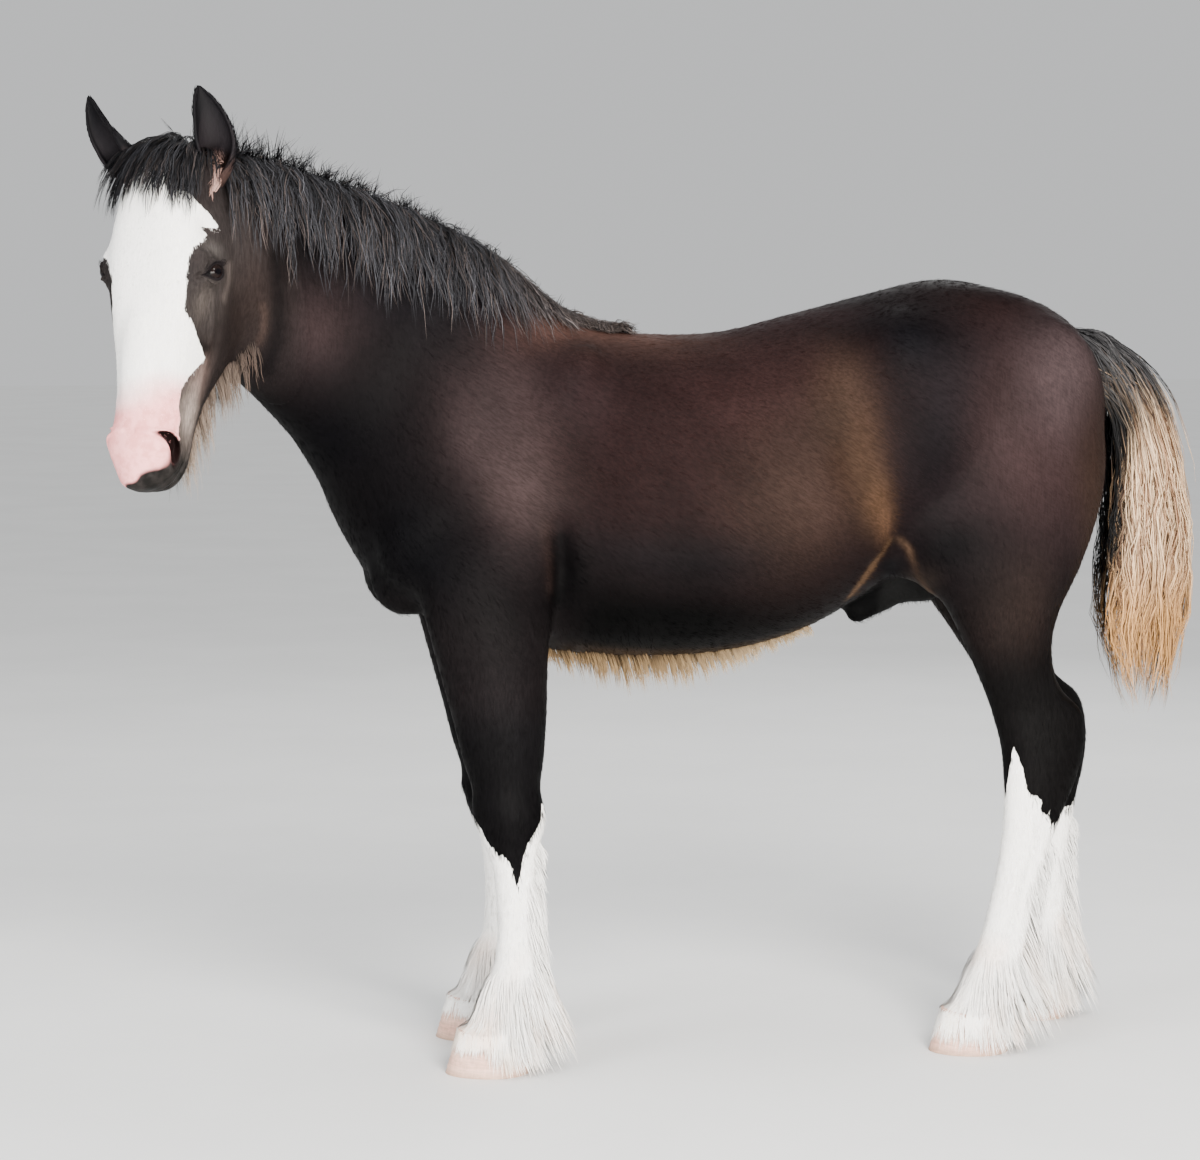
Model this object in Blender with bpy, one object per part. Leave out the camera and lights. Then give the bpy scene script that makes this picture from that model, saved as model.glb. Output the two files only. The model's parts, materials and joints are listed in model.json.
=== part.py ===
"""Life-size still model of a young cob horse standing with its head turned to its left.

Built in the body frame: x runs to the rear from the withers, y to the horse's right, z up from the floor.
The flesh is one fused form, parted into named pieces by thin cuts. Hair grows on the pieces as tapered locks.
The last step moves everything so that the origin lies on the floor below the middle of the model.
"""

import math
import random

import bmesh
import bpy
import numpy as np
from mathutils import Matrix, Vector
from mathutils.bvhtree import BVHTree

# Driving sizes, in metres
GAP = 0.0003
FUSE_VOXEL = 0.007
SEEDS = {"head": 12, "neck": 12, "tail": 13, "torso": 12, "foreleg_left": 21, "foreleg_right": 13,
         "hindleg_left": 14, "hindleg_right": 15}
FLESH_TRIANGLES = 3300
MODEL_CENTRE = Vector((0.080, -0.078, 0.0))
UP = Vector((0, 0, 1))
RIGHT = Vector((0, 1, 0))

# Trunk and neck sections: top x, top z, bottom x, bottom z, side offset, half width, level of the widest point
TRUNK = [
    (0.985, 1.350, 0.965, 1.180, 0.000, 0.050, 0.00),
    (0.955, 1.405, 0.930, 1.090, 0.000, 0.120, 0.00),
    (0.880, 1.470, 0.860, 1.020, 0.000, 0.190, 0.05),
    (0.770, 1.525, 0.760, 0.985, 0.000, 0.235, 0.10),
    (0.650, 1.545, 0.650, 0.965, 0.000, 0.256, 0.10),
    (0.520, 1.518, 0.520, 0.915, 0.000, 0.260, 0.02),
    (0.370, 1.480, 0.370, 0.838, 0.000, 0.268, -0.08),
    (0.200, 1.440, 0.200, 0.797, 0.000, 0.270, -0.12),
    (0.030, 1.440, 0.010, 0.793, 0.000, 0.252, -0.12),
    (-0.060, 1.455, -0.150, 0.810, 0.000, 0.222, -0.10),
    (-0.130, 1.490, -0.330, 0.850, 0.000, 0.212, -0.10),
    (-0.205, 1.550, -0.470, 0.935, -0.005, 0.194, -0.12),
    (-0.290, 1.606, -0.540, 1.040, -0.015, 0.168, -0.12),
    (-0.390, 1.655, -0.580, 1.140, -0.035, 0.140, -0.12),
    (-0.500, 1.695, -0.632, 1.225, -0.070, 0.124, -0.10),
    (-0.610, 1.729, -0.700, 1.300, -0.115, 0.112, -0.08),
    (-0.720, 1.756, -0.765, 1.370, -0.165, 0.102, -0.05),
    (-0.815, 1.755, -0.820, 1.440, -0.225, 0.090, 0.00),
    (-0.870, 1.740, -0.860, 1.520, -0.270, 0.066, 0.00),
]
# Leg sections: front x, front z, back x, back z, distance from the middle, half width
FORELEG = [
    (-0.400, 1.150, -0.150, 1.120, 0.130, 0.040),
    (-0.430, 1.020, -0.130, 0.990, 0.150, 0.078),
    (-0.405, 0.890, -0.150, 0.880, 0.160, 0.083),
    (-0.375, 0.780, -0.158, 0.780, 0.160, 0.077),
    (-0.350, 0.690, -0.160, 0.690, 0.158, 0.069),
    (-0.330, 0.610, -0.166, 0.610, 0.156, 0.061),
    (-0.312, 0.555, -0.172, 0.555, 0.155, 0.056),
    (-0.308, 0.505, -0.162, 0.505, 0.155, 0.061),
    (-0.292, 0.455, -0.172, 0.455, 0.155, 0.053),
    (-0.272, 0.400, -0.178, 0.400, 0.155, 0.043),
    (-0.264, 0.300, -0.180, 0.300, 0.155, 0.038),
    (-0.268, 0.220, -0.176, 0.220, 0.155, 0.042),
    (-0.286, 0.178, -0.172, 0.165, 0.155, 0.050),
    (-0.302, 0.130, -0.198, 0.110, 0.155, 0.045),
    (-0.324, 0.080, -0.203, 0.070, 0.155, 0.057),
    (-0.334, 0.045, -0.208, 0.040, 0.155, 0.057),
]
HINDLEG = [
    (0.600, 1.400, 0.930, 1.360, 0.110, 0.070),
    (0.565, 1.280, 0.962, 1.270, 0.135, 0.108),
    (0.560, 1.160, 0.968, 1.160, 0.145, 0.110),
    (0.558, 1.060, 0.948, 1.060, 0.150, 0.103),
    (0.578, 0.975, 0.912, 0.960, 0.150, 0.094),
    (0.635, 0.895, 0.872, 0.875, 0.147, 0.080),
    (0.675, 0.820, 0.866, 0.800, 0.142, 0.068),
    (0.710, 0.745, 0.885, 0.730, 0.140, 0.057),
    (0.735, 0.680, 0.930, 0.680, 0.140, 0.050),
    (0.755, 0.610, 0.934, 0.610, 0.140, 0.054),
    (0.762, 0.540, 0.914, 0.535, 0.140, 0.052),
    (0.762, 0.460, 0.880, 0.455, 0.140, 0.044),
    (0.753, 0.380, 0.855, 0.375, 0.140, 0.039),
    (0.732, 0.280, 0.830, 0.275, 0.140, 0.038),
    (0.713, 0.210, 0.814, 0.200, 0.140, 0.043),
    (0.695, 0.165, 0.802, 0.150, 0.140, 0.050),
    (0.678, 0.125, 0.777, 0.105, 0.140, 0.045),
    (0.656, 0.080, 0.770, 0.070, 0.140, 0.056),
    (0.645, 0.045, 0.768, 0.040, 0.140, 0.056),
]
# Where each leg stands: side (-1 left, 1 right), sections, shift to the rear, lean to the rear below LEAN_TOP
LEGS = {
    "foreleg_left": (-1, FORELEG, 0.0, 0.0),
    "foreleg_right": (1, FORELEG, 0.02, 0.0),
    "hindleg_left": (-1, HINDLEG, 0.0, 0.0),
    "hindleg_right": (1, HINDLEG, 0.0, 0.205),
}
LEAN_TOP = 1.08
# Hoof: coronet height at toe and heel, and how far the wall spreads at the floor
CORONET_TOE, CORONET_HEEL = 0.082, 0.062
HOOF_SPREAD_TOE, HOOF_SPREAD_SIDE, HOOF_SPREAD_HEEL = 0.026, 0.009, 0.004
FORE_UPPER_CUT, FORE_LOWER_CUT = 0.785, 0.430
HIND_UPPER_CUT, HIND_LOWER_CUT = 0.890, 0.485

# Head sections in the head frame: along and depth of the face line, along and depth of the jaw line,
# half width, level of the widest point
HEAD = [
    (-0.030, 0.050, -0.010, 0.160, 0.050, 0.00),
    (-0.005, 0.010, 0.020, 0.205, 0.076, 0.10),
    (0.050, -0.006, 0.090, 0.245, 0.094, 0.25),
    (0.120, -0.014, 0.165, 0.275, 0.104, 0.30),
    (0.190, -0.014, 0.235, 0.298, 0.106, 0.35),
    (0.250, -0.006, 0.295, 0.298, 0.100, 0.35),
    (0.310, 0.002, 0.345, 0.270, 0.090, 0.30),
    (0.370, 0.006, 0.395, 0.228, 0.079, 0.20),
    (0.430, 0.006, 0.445, 0.192, 0.070, 0.10),
    (0.490, 0.002, 0.497, 0.172, 0.066, 0.05),
    (0.540, 0.002, 0.547, 0.164, 0.064, 0.00),
    (0.580, 0.016, 0.582, 0.148, 0.055, 0.00),
    (0.602, 0.045, 0.602, 0.118, 0.034, 0.00),
]
POLL = Vector((-0.912, -0.325, 1.765))
HEAD_TURN = math.radians(55)
FACE_TILT = math.radians(11)
FORWARD = Vector((-math.cos(HEAD_TURN), -math.sin(HEAD_TURN), 0))
HEAD_LEFT = UP.cross(FORWARD)
ALONG = FORWARD * math.sin(FACE_TILT) - UP * math.cos(FACE_TILT)
DEPTH = -FORWARD * math.cos(FACE_TILT) - UP * math.sin(FACE_TILT)

# Muscles on both sides of the body: centre, radii, pitch in degrees
MUSCLES = [
    ((-0.165, 0.120, 1.200), (0.110, 0.085, 0.240), 26),
    ((-0.390, 0.112, 1.050), (0.100, 0.084, 0.125), 18),
    ((-0.245, 0.150, 1.000), (0.145, 0.076, 0.145), -28),
    ((-0.415, 0.062, 0.985), (0.085, 0.066, 0.105), 18),
    ((0.765, 0.140, 1.220), (0.190, 0.116, 0.270), 22),
    ((0.545, 0.165, 1.380), (0.105, 0.080, 0.110), 0),
    ((0.635, 0.158, 1.050), (0.110, 0.084, 0.150), -15),
    ((0.880, 0.100, 1.190), (0.084, 0.084, 0.215), 4),
    ((0.740, 0.078, 1.430), (0.210, 0.110, 0.098), 12),
    ((0.540, 0.120, 1.000), (0.110, 0.070, 0.060), -20),
]
# Forms on both sides of the head: centre and radii along, deep and sideways
HEAD_FORMS = [
    ((0.200, 0.050, 0.084), (0.048, 0.036, 0.034)),
    ((0.225, 0.190, 0.050), (0.110, 0.098, 0.046)),
    ((0.120, 0.075, 0.072), (0.070, 0.040, 0.030)),
    ((0.320, 0.090, 0.050), (0.110, 0.036, 0.032)),
    ((0.522, 0.042, 0.038), (0.046, 0.034, 0.030)),
    ((0.022, 0.072, 0.064), (0.042, 0.042, 0.036)),
]
# Forms on the middle line of the head
FACE_FORMS = [
    ((0.330, 0.020, 0.0), (0.200, 0.026, 0.045)),
    ((0.583, 0.054, 0.0), (0.032, 0.036, 0.050)),
    ((0.572, 0.122, 0.0), (0.034, 0.034, 0.038)),
    ((0.542, 0.150, 0.0), (0.036, 0.032, 0.036)),
]
EYE_CENTRE, EYE_RADIUS = Vector((0.203, 0.050, 0.1030)), 0.0230
LID_WIDE, LID_HIGH, LID_THICK = math.radians(54), math.radians(36), 0.0048
NOSTRIL_CENTRE, NOSTRIL_RADII = Vector((0.532, 0.050, 0.060)), (0.027, 0.013, 0.020)
MOUTH_CORNER, MOUTH_FRONT = Vector((0.500, 0.118, 0)), Vector((0.618, 0.086, 0))
# Ears: where each stands on the head, the way it points (forward, outward, up), the way its cup opens
# (forward, outward) and how far its tip bends inward
EAR_LENGTH, EAR_HALF_WIDTH, EAR_WALL, EAR_CUT = 0.180, 0.039, 0.006, 0.038
EARS = {
    "ear_left": (Vector((0.016, 0.080, 0.078)), (0.20, 0.12, 1.0), (0.85, 0.52), 0.042),
    "ear_right": (Vector((0.016, 0.076, -0.080)), (0.16, 0.70, 1.0), (0.92, 0.38), 0.030),
}
# Dock of the tail: x, z and radius
DOCK = [
    (0.900, 1.395, 0.030),
    (0.955, 1.405, 0.036),
    (1.000, 1.390, 0.036),
    (1.040, 1.340, 0.034),
    (1.062, 1.250, 0.030),
    (1.072, 1.150, 0.025),
    (1.078, 1.060, 0.017),
]
TAIL_LENGTH = 0.72
SHEATH = [
    ((0.620, 0.0, 0.950), (0.080, 0.052, 0.066), 10),
    ((0.545, 0.0, 0.905), (0.060, 0.036, 0.040), -20),
    ((0.502, 0.0, 0.872), (0.038, 0.026, 0.028), -30),
]


def head_point(along, deep, left):
    return POLL + ALONG * along + DEPTH * deep + HEAD_LEFT * left


def head_matrix():
    columns = Matrix((ALONG, DEPTH, HEAD_LEFT)).transposed().to_4x4()
    return Matrix.Translation(POLL) @ columns


def smooth_rows(rows, steps):
    """Rows between the given ones, on one smooth curve through them all."""
    p = np.array(rows, float)
    p = np.vstack([2 * p[0] - p[1], p, 2 * p[-1] - p[-2]])
    made = []
    for a, b, c, d in zip(p, p[1:], p[2:], p[3:]):
        for t in np.arange(steps) / steps:
            line = 2 * b + (c - a) * t
            bend = (2 * a - 5 * b + 4 * c - d) * t**2 + (3 * b - a - 3 * c + d) * t**3
            made.append((line + bend) / 2)
    made.append(p[-2])
    return np.array(made)


def egg_ring(top, bottom, side, half_width, widest=0.0, square=2.15, count=28):
    """Points round one egg-shaped section between its top and its bottom point."""
    top, bottom = Vector(top), Vector(bottom)
    centre, up = (top + bottom) / 2, (top - bottom) / 2
    points = []
    for k in range(count):
        angle = 2 * math.pi * k / count
        across, level = (math.copysign(abs(v) ** (2 / square), v) for v in (math.cos(angle), math.sin(angle)))
        points.append(centre + up * (level + widest * (1 - level**2)) + side * (half_width * across))
    return points


def add_loft(mesh, rings):
    """A closed tube through rings of points, with flat ends."""
    loops = [[mesh.verts.new(p) for p in ring] for ring in rings]
    count = len(loops[0])
    faces = [mesh.faces.new(loops[0][::-1]), mesh.faces.new(loops[-1])]
    for a, b in zip(loops, loops[1:]):
        for i in range(count):
            j = (i + 1) % count
            faces.append(mesh.faces.new((a[i], a[j], b[j], b[i])))
    bmesh.ops.recalc_face_normals(mesh, faces=faces)


def add_ball(mesh, centre, radii, pitch=0.0, frame=None, segments=24):
    place = Matrix.Translation(Vector(centre)) @ Matrix.Rotation(math.radians(pitch), 4, "Y")
    place = place @ Matrix.Diagonal((*radii, 1))
    if frame is not None:
        place = frame @ place
    bmesh.ops.create_uvsphere(mesh, u_segments=segments, v_segments=segments // 2, radius=1, matrix=place)


def add_trunk(mesh):
    rows = smooth_rows(TRUNK, 4)
    middle = np.stack([(rows[:, 0] + rows[:, 2]) / 2, rows[:, 4]], 1)
    rings = []
    for i, (top_x, top_z, low_x, low_z, off, half, widest) in enumerate(rows):
        way = middle[min(i + 1, len(rows) - 1)] - middle[max(i - 1, 0)]
        side = Vector((way[1], -way[0], 0)).normalized()
        rings.append(egg_ring((top_x, off, top_z), (low_x, off, low_z), side, half, widest))
    add_loft(mesh, rings)


def leg_sections(name, steps=3):
    """(front point, back point, half width) of each section of one leg as it stands."""
    side, rows, shift, lean = LEGS[name]
    made = []
    for front_x, front_z, back_x, back_z, off, half in smooth_rows(rows, steps):
        front = Vector((front_x + shift + lean * max(0, LEAN_TOP - front_z), side * off, front_z))
        back = Vector((back_x + shift + lean * max(0, LEAN_TOP - back_z), side * off, back_z))
        made.append((front, back, half))
    return made


def add_leg(mesh, name):
    add_loft(mesh, [egg_ring(front, back, RIGHT, half, count=20) for front, back, half in leg_sections(name)])


def add_head(mesh):
    rings = []
    for top_s, top_d, low_s, low_d, half, widest in smooth_rows(HEAD, 4):
        rings.append(egg_ring(head_point(top_s, top_d, 0), head_point(low_s, low_d, 0), HEAD_LEFT, half, widest))
    add_loft(mesh, rings)
    for (along, deep, left), radii in HEAD_FORMS:
        for side in (-1, 1):
            add_ball(mesh, (along, deep, side * left), radii, frame=head_matrix())
    for centre, radii in FACE_FORMS:
        add_ball(mesh, centre, radii, frame=head_matrix())


def add_dock(mesh):
    rows = smooth_rows(DOCK, 3)
    rings = []
    for i, (x, z, radius) in enumerate(rows):
        way = rows[min(i + 1, len(rows) - 1)] - rows[max(i - 1, 0)]
        out = Vector((-way[1], 0, way[0])).normalized() * radius
        centre = Vector((x, 0, z))
        rings.append(egg_ring(centre + out, centre - out, RIGHT, radius, count=16))
    add_loft(mesh, rings)


def flesh_forms():
    """Every form of the flesh, as overlapping closed shells in one mesh."""
    mesh = bmesh.new()
    add_trunk(mesh)
    for name in LEGS:
        add_leg(mesh, name)
    for (x, y, z), radii, pitch in MUSCLES:
        for side in (-1, 1):
            add_ball(mesh, (x, side * y, z), radii, pitch)
    for centre, radii, pitch in SHEATH:
        add_ball(mesh, centre, radii, pitch)
    add_head(mesh)
    add_dock(mesh)
    return mesh


def new_object(name, mesh):
    """A scene object from a bmesh, which it frees."""
    data = bpy.data.meshes.new(name)
    mesh.to_mesh(data)
    mesh.free()
    made = bpy.data.objects.new(name, data)
    bpy.context.scene.collection.objects.link(made)
    return made


def settle(thing):
    """Applies the object's modifiers."""
    graph = bpy.context.evaluated_depsgraph_get()
    data = bpy.data.meshes.new_from_object(thing.evaluated_get(graph))
    thing.modifiers.clear()
    thing.data = data
    return thing


def broad_share(point):
    """1 on the trunk, neck and upper legs, where muscles blend widely, down to 0 on the head and lower legs."""
    from_head = (point - head_point(0.20, 0.12, 0)).length
    head = min(1.0, max(0.0, (from_head - 0.26) / 0.12))
    leg = min(1.0, max(0.15, (point.z - 0.62) / 0.25))
    dock = 0.3 if point.x > 0.99 else 1.0
    return head * leg * dock


def fuse_flesh():
    flesh = new_object("flesh", flesh_forms())
    fuse = flesh.modifiers.new("Fuse", "REMESH")
    fuse.mode = "VOXEL"
    fuse.voxel_size = FUSE_VOXEL
    settle(flesh)
    broad = flesh.vertex_groups.new(name="broad")
    for vertex in flesh.data.vertices:
        broad.add([vertex.index], broad_share(vertex.co), "REPLACE")
    relax = flesh.modifiers.new("Relax", "SMOOTH")
    relax.factor, relax.iterations = 0.5, 6
    blend = flesh.modifiers.new("Blend", "SMOOTH")
    blend.factor, blend.iterations, blend.vertex_group = 0.5, 40, "broad"
    return settle(flesh)


def thin_faces(thing, triangles):
    thin = thing.modifiers.new("Thin", "DECIMATE")
    thin.ratio = triangles / (2 * len(thing.data.polygons))
    return settle(thing)


def combine(base, pieces, operation):
    """One Boolean of a collection of closed meshes on base, applied, with the pieces removed after it."""
    group = bpy.data.collections.new("pieces")
    bpy.context.scene.collection.children.link(group)
    for piece in pieces:
        bpy.context.scene.collection.objects.unlink(piece)
        group.objects.link(piece)
    join = base.modifiers.new("Join", "BOOLEAN")
    join.operation, join.operand_type, join.collection = operation, "COLLECTION", group
    join.solver = "MANIFOLD"
    bpy.context.view_layer.update()
    settle(base)
    for piece in pieces:
        bpy.data.objects.remove(piece)
    bpy.data.collections.remove(group)
    return base


def slab(centre, normal, across, half_across, half_other):
    """A thin cutting plate as wide as the gap between two nodes."""
    normal = Vector(normal).normalized()
    across = (Vector(across) - normal * Vector(across).dot(normal)).normalized()
    other = normal.cross(across)
    mesh = bmesh.new()
    turn = Matrix((across, other, normal)).transposed().to_4x4()
    size = Matrix.Diagonal((2 * half_across, 2 * half_other, GAP, 1))
    bmesh.ops.create_cube(mesh, size=1, matrix=Matrix.Translation(Vector(centre)) @ turn @ size)
    return new_object("slab", mesh)


def level_of(name, height):
    """Middle point of one leg's sections at a height."""
    front, back, half = min(leg_sections(name), key=lambda s: abs((s[0].z + s[1].z) / 2 - height))
    return (front + back) / 2


def body_slabs():
    """The thin cuts that part the flesh into named pieces."""
    plates = [
        slab((-0.320, 0, 1.270), (-0.76, 0, 0.65), (0, 1, 0), 0.34, 0.55),
        slab((0.400, 0, 1.20), (1, 0, 0), (0, 1, 0), 0.40, 0.50),
        slab((1.001, 0, 1.320), (1, 0, 0), (0, 1, 0), 0.07, 0.14),
    ]
    plates.append(slab(head_point(0.160, 0.275, 0), ALONG * -0.364 + DEPTH * 0.931, HEAD_LEFT, 0.20, 0.31))
    for name in LEGS:
        fore = name.startswith("fore")
        for height in (FORE_UPPER_CUT, FORE_LOWER_CUT) if fore else (HIND_UPPER_CUT, HIND_LOWER_CUT):
            centre = level_of(name, height)
            centre.z = height
            plates.append(slab(centre, UP, (1, 0, 0), 0.20, 0.135))
    return plates


def coronet_plane(name):
    """A point and the upward normal of the plane where one leg meets its hoof."""
    front, back, half = leg_sections(name)[-1]
    toe = Vector((front.x, front.y, CORONET_TOE))
    heel = Vector((back.x, back.y, CORONET_HEEL))
    way = (toe - heel).normalized()
    return (toe + heel) / 2, way.cross(RIGHT) if way.cross(RIGHT).z > 0 else RIGHT.cross(way)


def below_coronet(name):
    """A block that takes away the flesh below the coronet."""
    centre, normal = coronet_plane(name)
    across = Vector((1, 0, 0)) - normal * normal.x
    turn = Matrix((across.normalized(), normal.cross(across).normalized(), normal)).transposed().to_4x4()
    mesh = bmesh.new()
    drop = Matrix.Translation(centre - normal * 0.1)
    bmesh.ops.create_cube(mesh, size=1, matrix=drop @ turn @ Matrix.Diagonal((0.30, 0.22, 0.2, 1)))
    return new_object("below", mesh)


def hoof_ring(name, share, count=18):
    """One level of a hoof wall, from the coronet at share 0 to the floor at share 1."""
    front, back, half = leg_sections(name)[-2]
    centre, normal = coronet_plane(name)
    toe = front.x - 0.006 - HOOF_SPREAD_TOE * share
    heel = back.x + 0.004 + HOOF_SPREAD_HEEL * share
    wide = half + 0.003 + HOOF_SPREAD_SIDE * share
    points = []
    for k in range(count):
        angle = 2 * math.pi * k / count
        reach = math.cos(angle)
        x = (toe + heel) / 2 - (heel - toe) / 2 * reach
        y = front.y + wide * math.sin(angle) * (1 - 0.12 * reach)
        top = centre.z - (x - centre.x) * normal.x / normal.z - GAP
        points.append(Vector((x, y, top * (1 - share))))
    return points


def make_hoof(name):
    mesh = bmesh.new()
    add_loft(mesh, [hoof_ring(name, share) for share in (1.0, 0.66, 0.33, 0.0)])
    return new_object(name.replace("leg", "hoof"), mesh)


def ear_frame(name):
    """Root point, pointing, opening and sideways directions of one ear."""
    root, (ahead, out, up), (open_ahead, open_out), hook = EARS[name]
    outward = HEAD_LEFT if root.z > 0 else -HEAD_LEFT
    point = (FORWARD * ahead + outward * out + UP * up).normalized()
    mouth = FORWARD * open_ahead + outward * open_out
    mouth = (mouth - point * mouth.dot(point)).normalized()
    return head_point(*root), point, mouth, point.cross(mouth)


def ear_ring(name, share, arc=8):
    """One C-shaped level of an ear, whose opening widens above the root."""
    root, point, mouth, across = ear_frame(name)
    inward = -HEAD_LEFT if EARS[name][0].z > 0 else HEAD_LEFT
    bend = inward * (EARS[name][3] * max(0.0, share) ** 2.2)
    half = EAR_HALF_WIDTH * (0.62 + 1.9 * share - 2.3 * share**2) * (1 - share**6) + 0.002
    gape = math.radians(20 + 62 * min(1, share / 0.45))
    wall = min(EAR_WALL, half * 0.6)
    centre = root + point * (EAR_LENGTH * share) + mouth * (0.016 * math.sin(math.pi * share)) + bend
    ring = []
    for radius, way in ((half, 1), (half - wall, -1)):
        for k in range(arc):
            angle = gape + (2 * math.pi - 2 * gape) * k / (arc - 1)
            angle = angle if way > 0 else 2 * math.pi - angle
            flat = 0.72 - 0.25 * share
            ring.append(centre + mouth * (math.cos(angle) * radius * flat) + across * (math.sin(angle) * radius))
    return ring


def make_ear(name):
    mesh = bmesh.new()
    add_loft(mesh, [ear_ring(name, share) for share in (-0.12, 0.05, 0.20, 0.38, 0.56, 0.74, 0.89, 0.98)])
    root, point, mouth, across = ear_frame(name)
    plug = bmesh.new()
    turn = Matrix((mouth, across, point)).transposed().to_4x4()
    size = Matrix.Diagonal((0.021, 0.026, 0.036, 1))
    bmesh.ops.create_uvsphere(plug, u_segments=10, v_segments=6, radius=1,
                              matrix=Matrix.Translation(root - point * 0.004) @ turn @ size)
    return combine(new_object(name, mesh), [new_object("plug", plug)], "UNION")


def eye_place(side):
    return head_point(EYE_CENTRE.x, EYE_CENTRE.y, side * EYE_CENTRE.z)


def ball_object(name, centre, radius, segments=12):
    mesh = bmesh.new()
    bmesh.ops.create_uvsphere(mesh, u_segments=segments, v_segments=segments // 2 + 2, radius=radius,
                              matrix=Matrix.Translation(centre))
    return new_object(name, mesh)


def make_lids(side, around=16, count=4):
    """The rim of both lids, an almond-shaped ring lying on the eyeball."""
    out = (HEAD_LEFT * side - DEPTH * 0.30 + ALONG * 0.04).normalized()
    front = (ALONG - out * ALONG.dot(out)).normalized()
    high = out.cross(front)
    centre = eye_place(side)
    mesh = bmesh.new()
    loops = []
    for i in range(around):
        turn = 2 * math.pi * i / around
        wide, tall = LID_WIDE * math.cos(turn), LID_HIGH * math.sin(turn)
        way = (out * math.cos(math.hypot(wide, tall)) + front * math.sin(wide) + high * math.sin(tall)).normalized()
        edge = (front * -math.sin(turn) * LID_WIDE + high * math.cos(turn) * LID_HIGH).normalized()
        side_way = way.cross(edge).normalized()
        loops.append([mesh.verts.new(centre + way * EYE_RADIUS + (way * math.sin(a) + side_way * math.cos(a)) * LID_THICK)
                      for a in (2 * math.pi * k / count for k in range(count))])
    for a, b in zip(loops, loops[1:] + loops[:1]):
        for k in range(count):
            mesh.faces.new((a[k], a[(k + 1) % count], b[(k + 1) % count], b[k]))
    bmesh.ops.recalc_face_normals(mesh, faces=mesh.faces[:])
    return new_object("lids", mesh)


def nostril_cutter(side):
    mesh = bmesh.new()
    place = Matrix.Translation((NOSTRIL_CENTRE.x, NOSTRIL_CENTRE.y, side * NOSTRIL_CENTRE.z))
    turn = Matrix.Rotation(math.radians(-28), 4, "Z") @ Matrix.Diagonal((*NOSTRIL_RADII, 1))
    bmesh.ops.create_uvsphere(mesh, u_segments=10, v_segments=7, radius=1, matrix=head_matrix() @ place @ turn)
    return new_object("nostril", mesh)


def mouth_cutter(depth=0.010, slit=0.0032):
    """A thin horseshoe plate that opens the line between the lips without parting them."""
    way = (MOUTH_FRONT - MOUTH_CORNER).normalized()
    reach = (MOUTH_FRONT - MOUTH_CORNER).length
    normal = Vector((-way.y, way.x, 0))
    mesh = bmesh.new()
    inner, outer = [], []
    for k in range(11):
        angle = math.pi * (k / 10 - 0.5)
        ahead, aside = math.cos(angle), math.sin(angle)
        inner.append(MOUTH_CORNER + way * ((reach - 0.018 - depth) * ahead) + UP * (0.050 * aside))
        outer.append(MOUTH_CORNER + way * ((reach + 0.020) * ahead) + UP * (0.085 * aside))
    outline = inner + outer[::-1]
    rings = []
    for lift in (-slit / 2, slit / 2):
        rings.append([head_point(*(p + normal * lift)) for p in outline])
    add_loft(mesh, rings)
    bmesh.ops.triangulate(mesh, faces=mesh.faces[:])
    return new_object("mouth", mesh)


def part_flesh(flesh):
    """Cuts the flesh and returns its pieces by name."""
    labels = {
        "torso": Vector((0.15, -0.26, 1.15)),
        "hindquarters": Vector((0.75, 0, 1.54)),
        "neck": Vector((-0.50, -0.07, 1.67)),
        "head": head_point(0.30, 0.0, 0),
        "tail": Vector((1.07, 0, 1.15)),
    }
    for name in EARS:
        labels[name] = ear_ring(name, 0.9)[0]
    for name in LEGS:
        fore = name.startswith("fore")
        upper, lower = (FORE_UPPER_CUT, FORE_LOWER_CUT) if fore else (HIND_UPPER_CUT, HIND_LOWER_CUT)
        labels[name + "_upper"] = level_of(name, (upper + lower) / 2)
        labels[name + "_lower"] = level_of(name, lower / 2)
    bpy.context.view_layer.objects.active = flesh
    flesh.select_set(True)
    bpy.ops.mesh.separate(type="LOOSE")
    pieces = [o for o in bpy.context.selected_objects if len(o.data.vertices) > 20]
    for scrap in set(bpy.context.selected_objects) - set(pieces):
        bpy.data.objects.remove(scrap)
    found = {}
    for name, spot in labels.items():
        piece = min(pieces, key=lambda o: min((v.co - spot).length for v in o.data.vertices))
        pieces.remove(piece)
        piece.name = name
        found[name] = piece
    for scrap in pieces:
        bpy.data.objects.remove(scrap)
    return found


def build():
    for thing in list(bpy.data.objects):
        bpy.data.objects.remove(thing)
    flesh = fuse_flesh()
    skin = BVHTree.FromPolygons([v.co.copy() for v in flesh.data.vertices],
                                [p.vertices[:] for p in flesh.data.polygons])
    thin_faces(flesh, FLESH_TRIANGLES)
    ears = [make_ear(name) for name in EARS]
    lids = [make_lids(side) for side in (-1, 1)]
    combine(flesh, lids + ears, "UNION")
    cuts = body_slabs() + [below_coronet(name) for name in LEGS] + [mouth_cutter()]
    for side in (-1, 1):
        cuts.append(nostril_cutter(side))
        cuts.append(ball_object("socket", eye_place(side), EYE_RADIUS + GAP))
    for name in EARS:
        root, point, mouth, across = ear_frame(name)
        cuts.append(slab(root + point * EAR_CUT, point, mouth, 0.040, 0.040))
    combine(flesh, cuts, "DIFFERENCE")
    nodes = part_flesh(flesh)
    for side, name in ((1, "eye_left"), (-1, "eye_right")):
        nodes[name] = ball_object(name, eye_place(side), EYE_RADIUS - 0.0001)
    for name in LEGS:
        nodes[name.replace("leg", "hoof")] = make_hoof(name)
    return nodes, skin



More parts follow.
